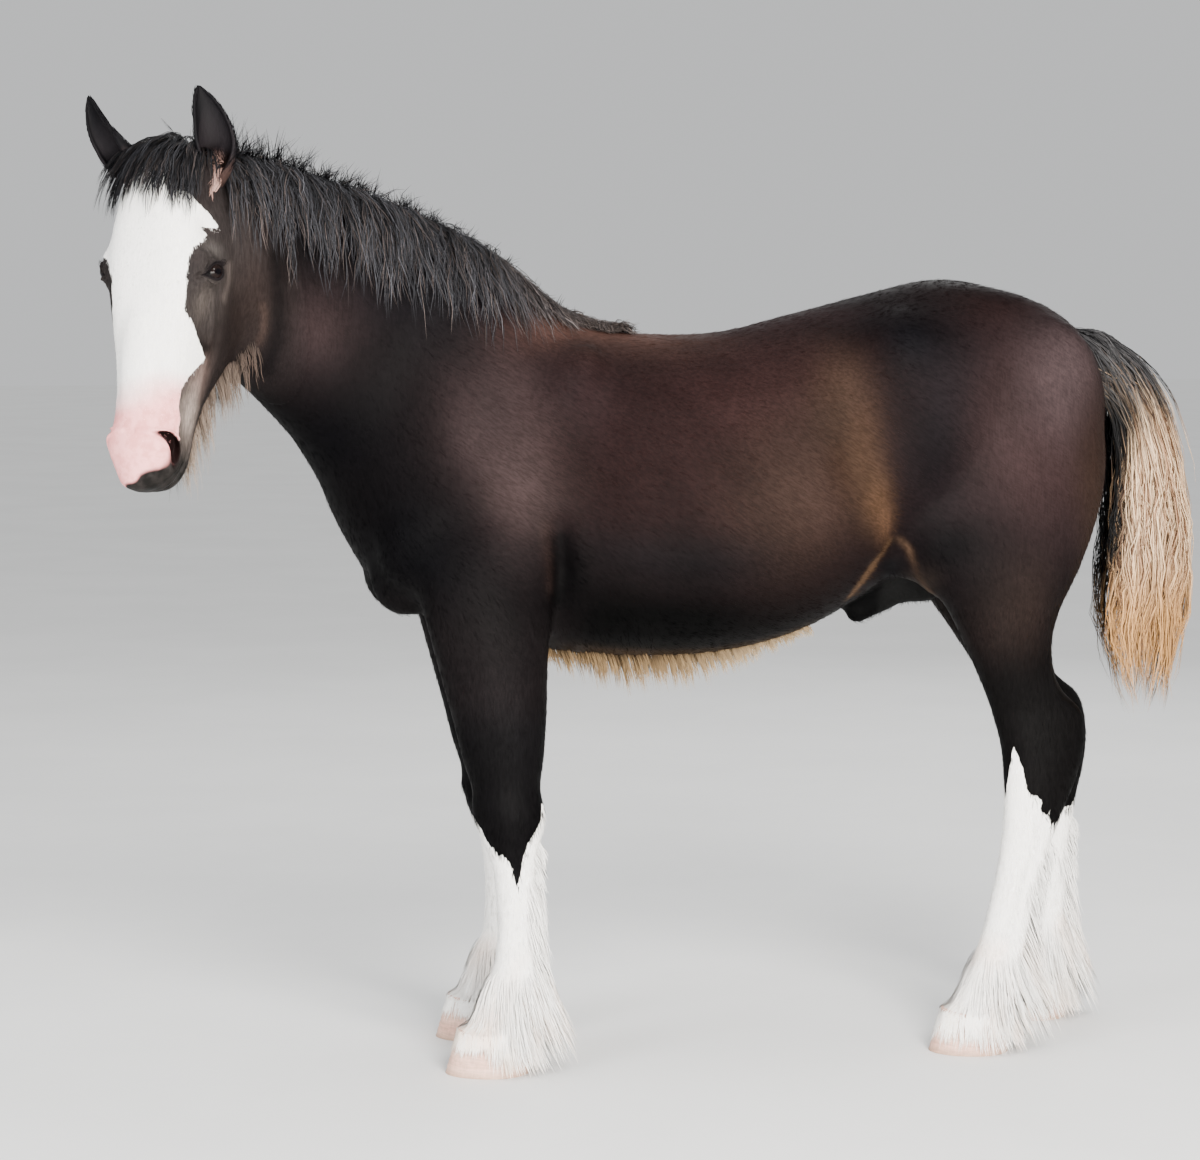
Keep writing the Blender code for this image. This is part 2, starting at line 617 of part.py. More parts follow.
def drape(skin, root, lie, length, sink, lift, fall, wave, steps=4):
    """The path of one lock: it leaves the flesh, bends to its fall and stays clear of the surface."""
    surface, out = skin.find_nearest(root)[:2]
    point, way = surface - out * sink, Vector(lie).normalized()
    path = [(point.copy(), out.copy())]
    phase = wave[1]
    for k in range(1, steps + 1):
        way = (way - UP * fall / steps).normalized()
        sway = way.cross(out).normalized() * (wave[0] * math.sin(phase + 5.0 * k / steps))
        point = point + way * (length / steps) + sway * (k / steps)
        surface, near = skin.find_nearest(point)[:2]
        want = lift * min(1.0, k / 1.4)
        if (point - surface).dot(near) < want:
            point = surface + near * want
        if (point - surface).length < 0.05:
            out = near
        way = (way * 0.5 + (point - path[-1][0]).normalized() * 0.5).normalized()
        path.append((point.copy(), out.copy()))
    return path


LOCK_SHAPE = (0.80, 1.0, 0.95, 0.66)


def add_lock(mesh, path, width, thick):
    """A flat lock with a ridge along its outer face, tapered to a point."""
    loops = []
    for k, (point, out) in enumerate(path[:-1]):
        way = (path[k + 1][0] - path[max(0, k - 1)][0]).normalized()
        side = way.cross(out)
        side = side.normalized() if side.length > 0.2 else way.cross(RIGHT).normalized()
        out = side.cross(way).normalized()
        share = LOCK_SHAPE[k]
        flat = out * (-0.4 * thick)
        corners = (flat + side * (width * share / 2), out * (0.6 * thick), flat - side * (width * share / 2))
        loops.append([mesh.verts.new(point + corner) for corner in corners])
    tip = mesh.verts.new(path[-1][0])
    faces = [mesh.faces.new(loops[0][::-1])]
    for a, b in zip(loops, loops[1:]):
        for i in range(3):
            faces.append(mesh.faces.new((a[i], a[(i + 1) % 3], b[(i + 1) % 3], b[i])))
    for i in range(3):
        faces.append(mesh.faces.new((loops[-1][i], loops[-1][(i + 1) % 3], tip)))
    bmesh.ops.recalc_face_normals(mesh, faces=faces)


# Sizes of a lock: length, width and thickness
CREST_LOCK = (0.105, 0.052, 0.0090)
MANE_LOCK = (0.235, 0.048, 0.0090)
FORELOCK = (0.150, 0.032, 0.0080)
BEARD_LOCK = (0.150, 0.038, 0.0080)
FEATHER_LOCK = (0.155, 0.050, 0.0090)
HEEL_LOCK = (0.110, 0.042, 0.0090)
BELLY_LOCK = (0.085, 0.040, 0.0080)
TAIL_LOCK = (0.420, 0.056, 0.0110)
LIFT = 0.0075


def grow(skin, kind, root, lie, fall, chance, scale=1.0, wave=0.006, lift=LIFT, sink=0.012):
    """One lock of a kind as its own object."""
    length, width, thick = kind
    length *= scale * chance.uniform(0.86, 1.14)
    lift *= chance.uniform(0.85, 1.30)
    mesh = bmesh.new()
    path = drape(skin, root, lie, length, sink, lift, fall, (wave, chance.uniform(0, 6.2)))
    add_lock(mesh, path, width * chance.uniform(0.85, 1.15), thick)
    return new_object("lock", mesh)


def crest_points(count, start, stop):
    """Points along the crest between two places measured along x."""
    rows = smooth_rows(TRUNK, 4)
    rows = rows[rows[:, 0].argsort()]
    return [Vector((x, np.interp(x, rows[:, 0], rows[:, 4]), np.interp(x, rows[:, 0], rows[:, 1])))
            for x in np.linspace(start, stop, count)]


def crest_frame(point):
    """Directions along the crest to the rear and out to the left at a point of it."""
    behind, ahead = crest_points(2, point.x + 0.02, point.x - 0.02)
    rear = (behind - ahead).normalized()
    return rear, Vector((rear.y, -rear.x, 0)).normalized()


def mane_locks(skin, chance, start, stop, count):
    made = []
    for i, point in enumerate(crest_points(count, start, stop)):
        rear, left = crest_frame(point)
        share = (point.x + 0.80) / 0.70
        scale = 0.80 + 0.32 * math.sin(math.pi * min(1, max(0, share * 0.9 + 0.1)))
        root = point + left * (0.004 + 0.018 * (i % 2)) - UP * 0.004
        lie = left * (0.55 + 0.5 * (i % 2)) + rear * chance.uniform(0.0, 0.45) + UP * (1.35 - 0.95 * (i % 2))
        made.append(grow(skin, MANE_LOCK, root, lie, 3.2 + 1.2 * (i % 2), chance, scale, lift=0.010))
    for point in crest_points(int(count * 0.72), start, stop):
        rear, left = crest_frame(point)
        lie = UP * 1.0 + rear * 0.65 + left * chance.uniform(-0.30, 0.25)
        made.append(grow(skin, CREST_LOCK, point, lie, 1.2, chance, sink=0.018))
    for point in crest_points(int(count * 0.20), start + 0.04, stop):
        rear, left = crest_frame(point)
        lie = left * -1.0 + rear * chance.uniform(0.1, 0.5) + UP * 0.4
        made.append(grow(skin, CREST_LOCK, point - left * 0.012, lie, 2.6, chance, 1.1))
    return made


def forelock_locks(skin, chance, count=11):
    made = []
    for i in range(count):
        left = -0.060 + 0.120 * i / (count - 1)
        spread = left * 1.6 + chance.uniform(-0.01, 0.01)
        root = head_point(-0.012 + 0.012 * (i % 2), 0.058, left * 0.75)
        lie = -DEPTH * 0.9 + HEAD_LEFT * (spread * 6) + ALONG * 0.35
        made.append(grow(skin, FORELOCK, root, lie, 2.4, chance, 0.95 + 0.18 * (i % 2), lift=0.010))
    return made


def beard_locks(skin, chance, count=11):
    made = []
    for i in range(count):
        share = i / (count - 1)
        side = (-1, 0.1, 1)[i % 3]
        root = head_point(0.29 + 0.22 * share, 0.295 - 0.130 * share, side * (0.034 - 0.010 * share))
        lie = DEPTH * 0.7 - UP * 1.0 + HEAD_LEFT * (side * 0.12)
        made.append(grow(skin, BEARD_LOCK, root, lie, 1.4, chance, 1.0 - 0.45 * share))
    return made


def belly_locks(skin, chance, count=12):
    made = []
    for i in range(count):
        share = i / (count - 1)
        root = Vector((-0.17 + 0.50 * share, (-0.04, 0.03, 0.0)[i % 3], 0.80))
        lie = -UP * 0.75 + Vector((0.8, 0, 0)) + RIGHT * chance.uniform(-0.3, 0.3)
        made.append(grow(skin, BELLY_LOCK, root, lie, 0.7, chance, 1.15 - 0.75 * abs(share - 0.40)))
    return made


# Rows of feather on a leg: height, length scale and how many locks
FEATHER_ROWS = [(0.380, 0.90, 2), (0.300, 1.00, 3), (0.220, 1.05, 3), (0.150, 0.95, 3)]


def feather_locks(skin, chance, name):
    """Locks round the back and sides of one leg, from below the knee or hock to over the hoof."""
    made = []
    for level, (height, scale, count) in enumerate(FEATHER_ROWS):
        front, back, half = min(leg_sections(name), key=lambda s: abs(s[1].z - height))
        middle = (front + back) / 2
        for i in range(count):
            angle = math.radians(-66 + 132 * (i + 0.25 + 0.25 * (level % 2)) / (count - 0.5))
            out = Vector((math.cos(angle), math.sin(angle), 0))
            root = middle + out * 0.05
            root.z = height + chance.uniform(-0.012, 0.012)
            lie = out * (0.34 + 0.12 * level) + Vector((0.18, 0, -1.0))
            made.append(grow(skin, FEATHER_LOCK, root, lie, 0.2, chance, scale, wave=0.003, lift=0.009))
    front, back, half = leg_sections(name)[-1]
    middle = (front + back) / 2
    for i in range(7):
        angle = math.radians(-172 + 344 * (i + 0.5) / 7)
        out = Vector((math.cos(angle), math.sin(angle), 0))
        root = middle + out * 0.06
        root.z = 0.106
        behind = 0.5 + 0.5 * math.cos(angle)
        lie = out * (0.45 + 0.40 * behind) - UP * 0.8
        made.append(grow(skin, HEEL_LOCK, root, lie, 0.5, chance, 0.60 + 0.40 * behind, wave=0.003, lift=0.007))
    return made


def tail_locks(skin, chance, count=18):
    """Locks from the whole length of the dock: inner ones hang straight, outer ones arch to the rear first."""
    made = []
    for i in range(count):
        share = (i + 0.5) / count
        x, z, radius = (np.interp(share * 0.96, np.linspace(0, 1, len(DOCK)), column) for column in zip(*DOCK))
        side = (-1, 0.5, 1, -0.5)[i % 4]
        outer = (i * 5 % 7) / 6
        if x < 1.02:
            x, z = 1.02, 1.375 - 0.02 * (i % 3)
        root = Vector((x + radius * (outer - 0.4), side * radius, z))
        lie = Vector((0.66 * outer - 0.10, side * 0.15, -0.90 + 0.35 * outer))
        reach = (z - 0.68) / 0.42 * (1.0 - 0.20 * (i % 4) / 3)
        made.append(grow(skin, TAIL_LOCK, root, lie, 3.2, chance, max(0.85, reach), wave=0.012, lift=0.013))
    return made


def keep_out(things, margin=0.0011):
    """Slightly swollen copies of nodes, which locks of a neighbour are cut clear of."""
    made = []
    for thing in things:
        copy = bpy.data.objects.new("keep_out", thing.data.copy())
        bpy.context.scene.collection.objects.link(copy)
        swell = copy.modifiers.new("Swell", "DISPLACE")
        swell.mid_level, swell.strength = 0, margin
        made.append(settle(copy))
    return made


def largest_shell(thing):
    """Keeps only the largest closed surface of a node."""
    mesh = bmesh.new()
    mesh.from_mesh(thing.data)
    bmesh.ops.triangulate(mesh, faces=mesh.faces[:])
    bmesh.ops.dissolve_degenerate(mesh, dist=2e-6, edges=mesh.edges[:])
    left, shells = set(mesh.faces), []
    while left:
        shell, edge = set(), [left.pop()]
        while edge:
            face = edge.pop()
            shell.add(face)
            for near in (f for e in face.edges if len(e.link_faces) == 2 for f in e.link_faces):
                if near in left:
                    left.discard(near)
                    edge.append(near)
        shells.append(shell)
    shells.sort(key=lambda shell: -sum(f.calc_area() for f in shell))
    scrap = [f for shell in shells[1:] for f in shell]
    bmesh.ops.delete(mesh, geom=scrap, context="FACES")
    loose = [v for v in mesh.verts if not v.link_faces]
    bmesh.ops.delete(mesh, geom=loose, context="VERTS")
    mesh.to_mesh(thing.data)
    mesh.free()
    return len(shells)


def dress(node, locks, neighbours):
    """Joins locks to the node they grow from, clear of the neighbours."""
    coat = locks.pop()
    combine(coat, locks, "UNION")
    combine(coat, keep_out(neighbours), "DIFFERENCE")
    combine(node, [coat], "UNION")
    print(node.name, "shells", largest_shell(node), "faces", len(node.data.polygons))


def grow_hair(nodes, skin):
    chance = {name: random.Random(seed) for name, seed in SEEDS.items()}
    ears = [nodes[name] for name in EARS]
    locks = forelock_locks(skin, chance["head"]) + beard_locks(skin, chance["head"])
    dress(nodes["head"], locks, ears + [nodes["neck"]])
    locks = mane_locks(skin, chance["neck"], -0.80, -0.17, 17)
    dress(nodes["neck"], locks, ears + [nodes["head"], nodes["torso"]])
    dress(nodes["tail"], tail_locks(skin, chance["tail"]), [nodes["hindquarters"]])
    locks = belly_locks(skin, chance["torso"]) + mane_locks(skin, chance["torso"], -0.090, 0.0, 4)
    uppers = [nodes["foreleg_left_upper"], nodes["foreleg_right_upper"]]
    dress(nodes["torso"], locks, uppers + [nodes["neck"], nodes["hindquarters"]])
    for name in LEGS:
        near = [nodes[name.replace("leg", "hoof")], nodes[name + "_upper"]]
        dress(nodes[name + "_lower"], feather_locks(skin, chance[name], name), near)


# Plain colour of each kind of node, which the name of a node starts with
COLOURS = {
    "torso": (0.055, 0.028, 0.016, 1),
    "hindquarters": (0.035, 0.023, 0.017, 1),
    "neck": (0.022, 0.015, 0.012, 1),
    "head": (0.030, 0.022, 0.018, 1),
    "ear": (0.012, 0.009, 0.008, 1),
    "eye": (0.008, 0.005, 0.004, 1),
    "tail": (0.300, 0.210, 0.130, 1),
    "foreleg": (0.550, 0.500, 0.430, 1),
    "hindleg": (0.550, 0.500, 0.430, 1),
    "forehoof": (0.420, 0.320, 0.230, 1),
    "hindhoof": (0.420, 0.320, 0.230, 1),
}
UPPER_LEG_COLOUR = (0.024, 0.016, 0.012, 1)


def colour_nodes(nodes):
    for name, node in nodes.items():
        colour = UPPER_LEG_COLOUR if name.endswith("upper") else COLOURS[name.split("_")[0]]
        paint = bpy.data.materials.new(name)
        paint.use_nodes = True
        coat = paint.node_tree.nodes["Principled BSDF"]
        coat.inputs["Base Color"].default_value = colour
        coat.inputs["Roughness"].default_value = 0.15 if name.startswith("eye") else 0.65
        node.data.materials.clear()
        node.data.materials.append(paint)


def centre_model(nodes):
    for node in nodes.values():
        node.data.transform(Matrix.Translation(-MODEL_CENTRE))


nodes, skin = build()
grow_hair(nodes, skin)
colour_nodes(nodes)
centre_model(nodes)
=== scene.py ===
"""Looks of the life-size still cob horse: one skin, hair as solid locks and tufts, eyes and hooves.

Everything is made in the body frame of the solids and moved at the end: x runs to the rear from the withers,
y to the horse's right, z up from the floor.
"""
import json
import math
from collections import namedtuple

import bmesh
import bpy
import numpy as np
from mathutils import Matrix, Vector
from mathutils.bvhtree import BVHTree

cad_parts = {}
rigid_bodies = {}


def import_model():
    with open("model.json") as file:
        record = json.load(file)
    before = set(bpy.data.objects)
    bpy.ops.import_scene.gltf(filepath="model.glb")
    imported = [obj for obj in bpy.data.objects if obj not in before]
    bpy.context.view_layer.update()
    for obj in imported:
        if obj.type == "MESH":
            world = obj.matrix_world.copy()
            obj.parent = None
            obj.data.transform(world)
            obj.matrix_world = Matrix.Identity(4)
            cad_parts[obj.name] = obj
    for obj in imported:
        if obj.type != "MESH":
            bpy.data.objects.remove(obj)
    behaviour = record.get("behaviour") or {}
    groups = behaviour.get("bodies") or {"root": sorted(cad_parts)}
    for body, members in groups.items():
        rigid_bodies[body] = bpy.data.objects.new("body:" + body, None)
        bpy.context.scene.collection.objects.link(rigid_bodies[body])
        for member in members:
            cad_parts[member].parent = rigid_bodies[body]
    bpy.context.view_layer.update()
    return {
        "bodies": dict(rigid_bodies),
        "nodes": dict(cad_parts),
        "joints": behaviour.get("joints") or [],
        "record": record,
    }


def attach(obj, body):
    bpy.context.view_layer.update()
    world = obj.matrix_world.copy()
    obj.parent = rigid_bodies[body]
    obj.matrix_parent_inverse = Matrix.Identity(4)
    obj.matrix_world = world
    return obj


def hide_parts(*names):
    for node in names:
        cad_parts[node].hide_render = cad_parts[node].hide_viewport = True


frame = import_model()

DENSE = 1.0

# Forms of the flesh, the same as in the solids
SKIN_VOXEL = 0.008
MODEL_CENTRE = Vector((0.080, -0.078, 0.0))
UP = Vector((0, 0, 1))
RIGHT = Vector((0, 1, 0))
# Trunk and neck: top point (x, z), bottom point (x, z), shift sideways, half width, level of the widest place
TRUNK = [
    (0.985, 1.350, 0.965, 1.180, 0.000, 0.050, 0.00),
    (0.955, 1.405, 0.930, 1.090, 0.000, 0.120, 0.00),
    (0.880, 1.470, 0.860, 1.020, 0.000, 0.190, 0.05),
    (0.770, 1.525, 0.760, 0.985, 0.000, 0.235, 0.10),
    (0.650, 1.545, 0.650, 0.965, 0.000, 0.256, 0.10),
    (0.520, 1.518, 0.520, 0.915, 0.000, 0.260, 0.02),
    (0.370, 1.480, 0.370, 0.838, 0.000, 0.268, -0.08),
    (0.200, 1.440, 0.200, 0.797, 0.000, 0.270, -0.12),
    (0.030, 1.440, 0.010, 0.793, 0.000, 0.252, -0.12),
    (-0.060, 1.455, -0.150, 0.810, 0.000, 0.222, -0.10),
    (-0.130, 1.490, -0.330, 0.850, 0.000, 0.212, -0.10),
    (-0.205, 1.550, -0.470, 0.935, -0.005, 0.194, -0.12),
    (-0.290, 1.606, -0.540, 1.040, -0.015, 0.168, -0.12),
    (-0.390, 1.655, -0.580, 1.140, -0.035, 0.140, -0.12),
    (-0.500, 1.695, -0.632, 1.225, -0.070, 0.124, -0.10),
    (-0.610, 1.729, -0.700, 1.300, -0.115, 0.112, -0.08),
    (-0.720, 1.756, -0.765, 1.370, -0.165, 0.102, -0.05),
    (-0.815, 1.755, -0.820, 1.440, -0.225, 0.090, 0.00),
    (-0.870, 1.740, -0.860, 1.520, -0.270, 0.066, 0.00),
]
# Legs: front point (x, z), back point (x, z), distance from the middle, half width
FORELEG = [
    (-0.400, 1.150, -0.150, 1.120, 0.130, 0.040),
    (-0.430, 1.020, -0.130, 0.990, 0.150, 0.078),
    (-0.405, 0.890, -0.150, 0.880, 0.160, 0.083),
    (-0.375, 0.780, -0.158, 0.780, 0.160, 0.077),
    (-0.350, 0.690, -0.160, 0.690, 0.158, 0.069),
    (-0.330, 0.610, -0.166, 0.610, 0.156, 0.061),
    (-0.312, 0.555, -0.172, 0.555, 0.155, 0.056),
    (-0.308, 0.505, -0.162, 0.505, 0.155, 0.061),
    (-0.292, 0.455, -0.172, 0.455, 0.155, 0.053),
    (-0.272, 0.400, -0.178, 0.400, 0.155, 0.043),
    (-0.264, 0.300, -0.180, 0.300, 0.155, 0.038),
    (-0.268, 0.220, -0.176, 0.220, 0.155, 0.042),
    (-0.286, 0.178, -0.172, 0.165, 0.155, 0.050),
    (-0.302, 0.130, -0.198, 0.110, 0.155, 0.045),
    (-0.324, 0.080, -0.203, 0.070, 0.155, 0.057),
    (-0.334, 0.045, -0.208, 0.040, 0.155, 0.057),
]
HINDLEG = [
    (0.600, 1.400, 0.930, 1.360, 0.110, 0.070),
    (0.565, 1.280, 0.962, 1.270, 0.135, 0.108),
    (0.560, 1.160, 0.968, 1.160, 0.145, 0.110),
    (0.558, 1.060, 0.948, 1.060, 0.150, 0.103),
    (0.578, 0.975, 0.912, 0.960, 0.150, 0.094),
    (0.635, 0.895, 0.872, 0.875, 0.147, 0.080),
    (0.675, 0.820, 0.866, 0.800, 0.142, 0.068),
    (0.710, 0.745, 0.885, 0.730, 0.140, 0.057),
    (0.735, 0.680, 0.930, 0.680, 0.140, 0.050),
    (0.755, 0.610, 0.934, 0.610, 0.140, 0.054),
    (0.762, 0.540, 0.914, 0.535, 0.140, 0.052),
    (0.762, 0.460, 0.880, 0.455, 0.140, 0.044),
    (0.753, 0.380, 0.855, 0.375, 0.140, 0.039),
    (0.732, 0.280, 0.830, 0.275, 0.140, 0.038),
    (0.713, 0.210, 0.814, 0.200, 0.140, 0.043),
    (0.695, 0.165, 0.802, 0.150, 0.140, 0.050),
    (0.678, 0.125, 0.777, 0.105, 0.140, 0.045),
    (0.656, 0.080, 0.770, 0.070, 0.140, 0.056),
    (0.645, 0.045, 0.768, 0.040, 0.140, 0.056),
]
# Each leg: side, sections, shift back, and how far it leans back for each metre below LEAN_TOP
LEGS = {
    "foreleg_left": (-1, FORELEG, 0.0, 0.0),
    "foreleg_right": (1, FORELEG, 0.02, 0.0),
    "hindleg_left": (-1, HINDLEG, 0.0, 0.0),
    "hindleg_right": (1, HINDLEG, 0.0, 0.205),
}
LEAN_TOP = 1.08
# Hoof: coronet height at toe and heel, and how far the wall spreads at the floor
CORONET_TOE, CORONET_HEEL = 0.082, 0.062
HOOF_SPREAD_TOE, HOOF_SPREAD_SIDE, HOOF_SPREAD_HEEL = 0.026, 0.009, 0.004

# Head: top point (along, deep), bottom point (along, deep), half width, level of the widest place
HEAD = [
    (-0.030, 0.050, -0.010, 0.160, 0.050, 0.00),
    (-0.005, 0.010, 0.020, 0.205, 0.076, 0.10),
    (0.050, -0.006, 0.090, 0.245, 0.094, 0.25),
    (0.120, -0.014, 0.165, 0.275, 0.104, 0.30),
    (0.190, -0.014, 0.235, 0.298, 0.106, 0.35),
    (0.250, -0.006, 0.295, 0.298, 0.100, 0.35),
    (0.310, 0.002, 0.345, 0.270, 0.090, 0.30),
    (0.370, 0.006, 0.395, 0.228, 0.079, 0.20),
    (0.430, 0.006, 0.445, 0.192, 0.070, 0.10),
    (0.490, 0.002, 0.497, 0.172, 0.066, 0.05),
    (0.540, 0.002, 0.547, 0.164, 0.064, 0.00),
    (0.580, 0.016, 0.582, 0.148, 0.055, 0.00),
    (0.602, 0.045, 0.602, 0.118, 0.034, 0.00),
]
POLL = Vector((-0.912, -0.325, 1.765))
HEAD_TURN = math.radians(55)
FACE_TILT = math.radians(11)
FORWARD = Vector((-math.cos(HEAD_TURN), -math.sin(HEAD_TURN), 0))
HEAD_LEFT = UP.cross(FORWARD)
ALONG = FORWARD * math.sin(FACE_TILT) - UP * math.cos(FACE_TILT)
DEPTH = -FORWARD * math.cos(FACE_TILT) - UP * math.sin(FACE_TILT)

# Muscles on both sides of the body: centre, radii, pitch in degrees
MUSCLES = [
    ((-0.165, 0.120, 1.200), (0.110, 0.085, 0.240), 26),
    ((-0.390, 0.112, 1.050), (0.100, 0.084, 0.125), 18),
    ((-0.245, 0.150, 1.000), (0.145, 0.076, 0.145), -28),
    ((-0.415, 0.062, 0.985), (0.085, 0.066, 0.105), 18),
    ((0.765, 0.140, 1.220), (0.190, 0.116, 0.270), 22),
    ((0.545, 0.165, 1.380), (0.105, 0.080, 0.110), 0),
    ((0.635, 0.158, 1.050), (0.110, 0.084, 0.150), -15),
    ((0.880, 0.100, 1.190), (0.084, 0.084, 0.215), 4),
    ((0.740, 0.078, 1.430), (0.210, 0.110, 0.098), 12),
    ((0.540, 0.120, 1.000), (0.110, 0.070, 0.060), -20),
]
# Forms on both sides of the head: centre and radii along, deep and sideways
HEAD_FORMS = [
    ((0.200, 0.050, 0.084), (0.048, 0.036, 0.034)),
    ((0.225, 0.190, 0.050), (0.110, 0.098, 0.046)),
    ((0.120, 0.075, 0.072), (0.070, 0.040, 0.030)),
    ((0.320, 0.090, 0.050), (0.110, 0.036, 0.032)),
    ((0.522, 0.042, 0.038), (0.046, 0.034, 0.030)),
    ((0.022, 0.072, 0.064), (0.042, 0.042, 0.036)),
]
# Forms on the middle line of the head
FACE_FORMS = [
    ((0.330, 0.020, 0.0), (0.200, 0.026, 0.045)),
    ((0.583, 0.054, 0.0), (0.032, 0.036, 0.050)),
    ((0.572, 0.122, 0.0), (0.034, 0.034, 0.038)),
    ((0.542, 0.150, 0.0), (0.036, 0.032, 0.036)),
]
EYE_CENTRE, EYE_RADIUS = Vector((0.202, 0.059, 0.1050)), 0.0230
LID_WIDE, LID_HIGH = math.radians(68), math.radians(33)
NOSTRIL_CENTRE = Vector((0.526, 0.052, 0.060))
MOUTH_CORNER, MOUTH_FRONT = Vector((0.500, 0.118, 0)), Vector((0.618, 0.086, 0))
EAR_LENGTH, EAR_HALF_WIDTH, EAR_WALL = 0.170, 0.039, 0.006
# Ears: root along, deep and left, way it points, way it opens, and how far its tip hooks in
EARS = {
    "ear_left": (Vector((0.016, 0.080, 0.082)), (0.20, 0.30, 1.0), (0.85, 0.52), 0.060),
    "ear_right": (Vector((0.016, 0.076, -0.080)), (0.16, 0.92, 1.0), (0.92, 0.38), 0.040),
}
# Dock: place along, height and radius
DOCK = [
    (0.900, 1.395, 0.030),
    (0.955, 1.405, 0.036),
    (1.000, 1.390, 0.036),
    (1.040, 1.340, 0.034),
    (1.062, 1.250, 0.030),
    (1.072, 1.150, 0.025),
    (1.078, 1.060, 0.017),
]
# Sheath: centre, radii and pitch in degrees
SHEATH = [
    ((0.620, 0.0, 0.950), (0.080, 0.052, 0.066), 10),
    ((0.545, 0.0, 0.905), (0.060, 0.036, 0.040), -20),
    ((0.502, 0.0, 0.872), (0.038, 0.026, 0.028), -30),
]


def head_point(along, deep, left):
    return POLL + ALONG * along + DEPTH * deep + HEAD_LEFT * left


def head_matrix():
    columns = Matrix((ALONG, DEPTH, HEAD_LEFT)).transposed().to_4x4()
    return Matrix.Translation(POLL) @ columns


def smooth_rows(rows, steps):
    """Rows between the given ones, on one smooth curve through them all."""
    p = np.array(rows, float)
    p = np.vstack([2 * p[0] - p[1], p, 2 * p[-1] - p[-2]])
    made = []
    for a, b, c, d in zip(p, p[1:], p[2:], p[3:]):
        for t in np.arange(steps) / steps:
            line = 2 * b + (c - a) * t
            bend = (2 * a - 5 * b + 4 * c - d) * t**2 + (3 * b - a - 3 * c + d) * t**3
            made.append((line + bend) / 2)
    made.append(p[-2])
    return np.array(made)


def egg_ring(top, bottom, side, half_width, widest=0.0, square=2.15, count=28):
    """Points round one egg-shaped section between its top and its bottom point."""
    top, bottom = Vector(top), Vector(bottom)
    centre, up = (top + bottom) / 2, (top - bottom) / 2
    points = []
    for k in range(count):
        angle = 2 * math.pi * k / count
        across, level = (math.copysign(abs(v) ** (2 / square), v) for v in (math.cos(angle), math.sin(angle)))
        points.append(centre + up * (level + widest * (1 - level**2)) + side * (half_width * across))
    return points


def add_loft(mesh, rings):
    """A closed tube through rings of points, with flat ends."""
    loops = [[mesh.verts.new(p) for p in ring] for ring in rings]
    count = len(loops[0])
    faces = [mesh.faces.new(loops[0][::-1]), mesh.faces.new(loops[-1])]
    for a, b in zip(loops, loops[1:]):
        for i in range(count):
            j = (i + 1) % count
            faces.append(mesh.faces.new((a[i], a[j], b[j], b[i])))
    bmesh.ops.recalc_face_normals(mesh, faces=faces)


def add_ball(mesh, centre, radii, pitch=0.0, frame=None, segments=24):
    place = Matrix.Translation(Vector(centre)) @ Matrix.Rotation(math.radians(pitch), 4, "Y")
    place = place @ Matrix.Diagonal((*radii, 1))
    if frame is not None:
        place = frame @ place
    bmesh.ops.create_uvsphere(mesh, u_segments=segments, v_segments=segments // 2, radius=1, matrix=place)


def add_trunk(mesh):
    rows = smooth_rows(TRUNK, 4)
    middle = np.stack([(rows[:, 0] + rows[:, 2]) / 2, rows[:, 4]], 1)
    rings = []
    for i, (top_x, top_z, low_x, low_z, off, half, widest) in enumerate(rows):
        way = middle[min(i + 1, len(rows) - 1)] - middle[max(i - 1, 0)]
        side = Vector((way[1], -way[0], 0)).normalized()
        rings.append(egg_ring((top_x, off, top_z), (low_x, off, low_z), side, half, widest))
    add_loft(mesh, rings)


def leg_sections(name, steps=3):
    """(front point, back point, half width) of each section of one leg as it stands."""
    side, rows, shift, lean = LEGS[name]
    made = []
    for front_x, front_z, back_x, back_z, off, half in smooth_rows(rows, steps):
        front = Vector((front_x + shift + lean * max(0, LEAN_TOP - front_z), side * off, front_z))
        back = Vector((back_x + shift + lean * max(0, LEAN_TOP - back_z), side * off, back_z))
        made.append((front, back, half))
    return made


def add_leg(mesh, name):
    add_loft(mesh, [egg_ring(front, back, RIGHT, half, count=20) for front, back, half in leg_sections(name)])


def add_head(mesh):
    rings = []
    for top_s, top_d, low_s, low_d, half, widest in smooth_rows(HEAD, 4):
        top, low = head_point(top_s, top_d, 0), head_point(low_s, low_d, 0)
        rings.append(egg_ring(top, low, HEAD_LEFT, half, widest))
    add_loft(mesh, rings)
    for (along, deep, left), radii in HEAD_FORMS:
        for side in (-1, 1):
            add_ball(mesh, (along, deep, side * left), radii, frame=head_matrix())
    for centre, radii in FACE_FORMS:
        add_ball(mesh, centre, radii, frame=head_matrix())


def add_dock(mesh):
    rows = smooth_rows(DOCK, 3)
    rings = []
    for i, (x, z, radius) in enumerate(rows):
        way = rows[min(i + 1, len(rows) - 1)] - rows[max(i - 1, 0)]
        out = Vector((-way[1], 0, way[0])).normalized() * radius
        centre = Vector((x, 0, z))
        rings.append(egg_ring(centre + out, centre - out, RIGHT, radius, count=16))
    add_loft(mesh, rings)


def flesh_forms():
    """Every form of the flesh, as overlapping closed shells in one mesh."""
    mesh = bmesh.new()
    add_trunk(mesh)
    for name in LEGS:
        add_leg(mesh, name)
    for (x, y, z), radii, pitch in MUSCLES:
        for side in (-1, 1):
            add_ball(mesh, (x, side * y, z), radii, pitch)
    for centre, radii, pitch in SHEATH:
        add_ball(mesh, centre, radii, pitch)
    add_head(mesh)
    add_dock(mesh)
    return mesh


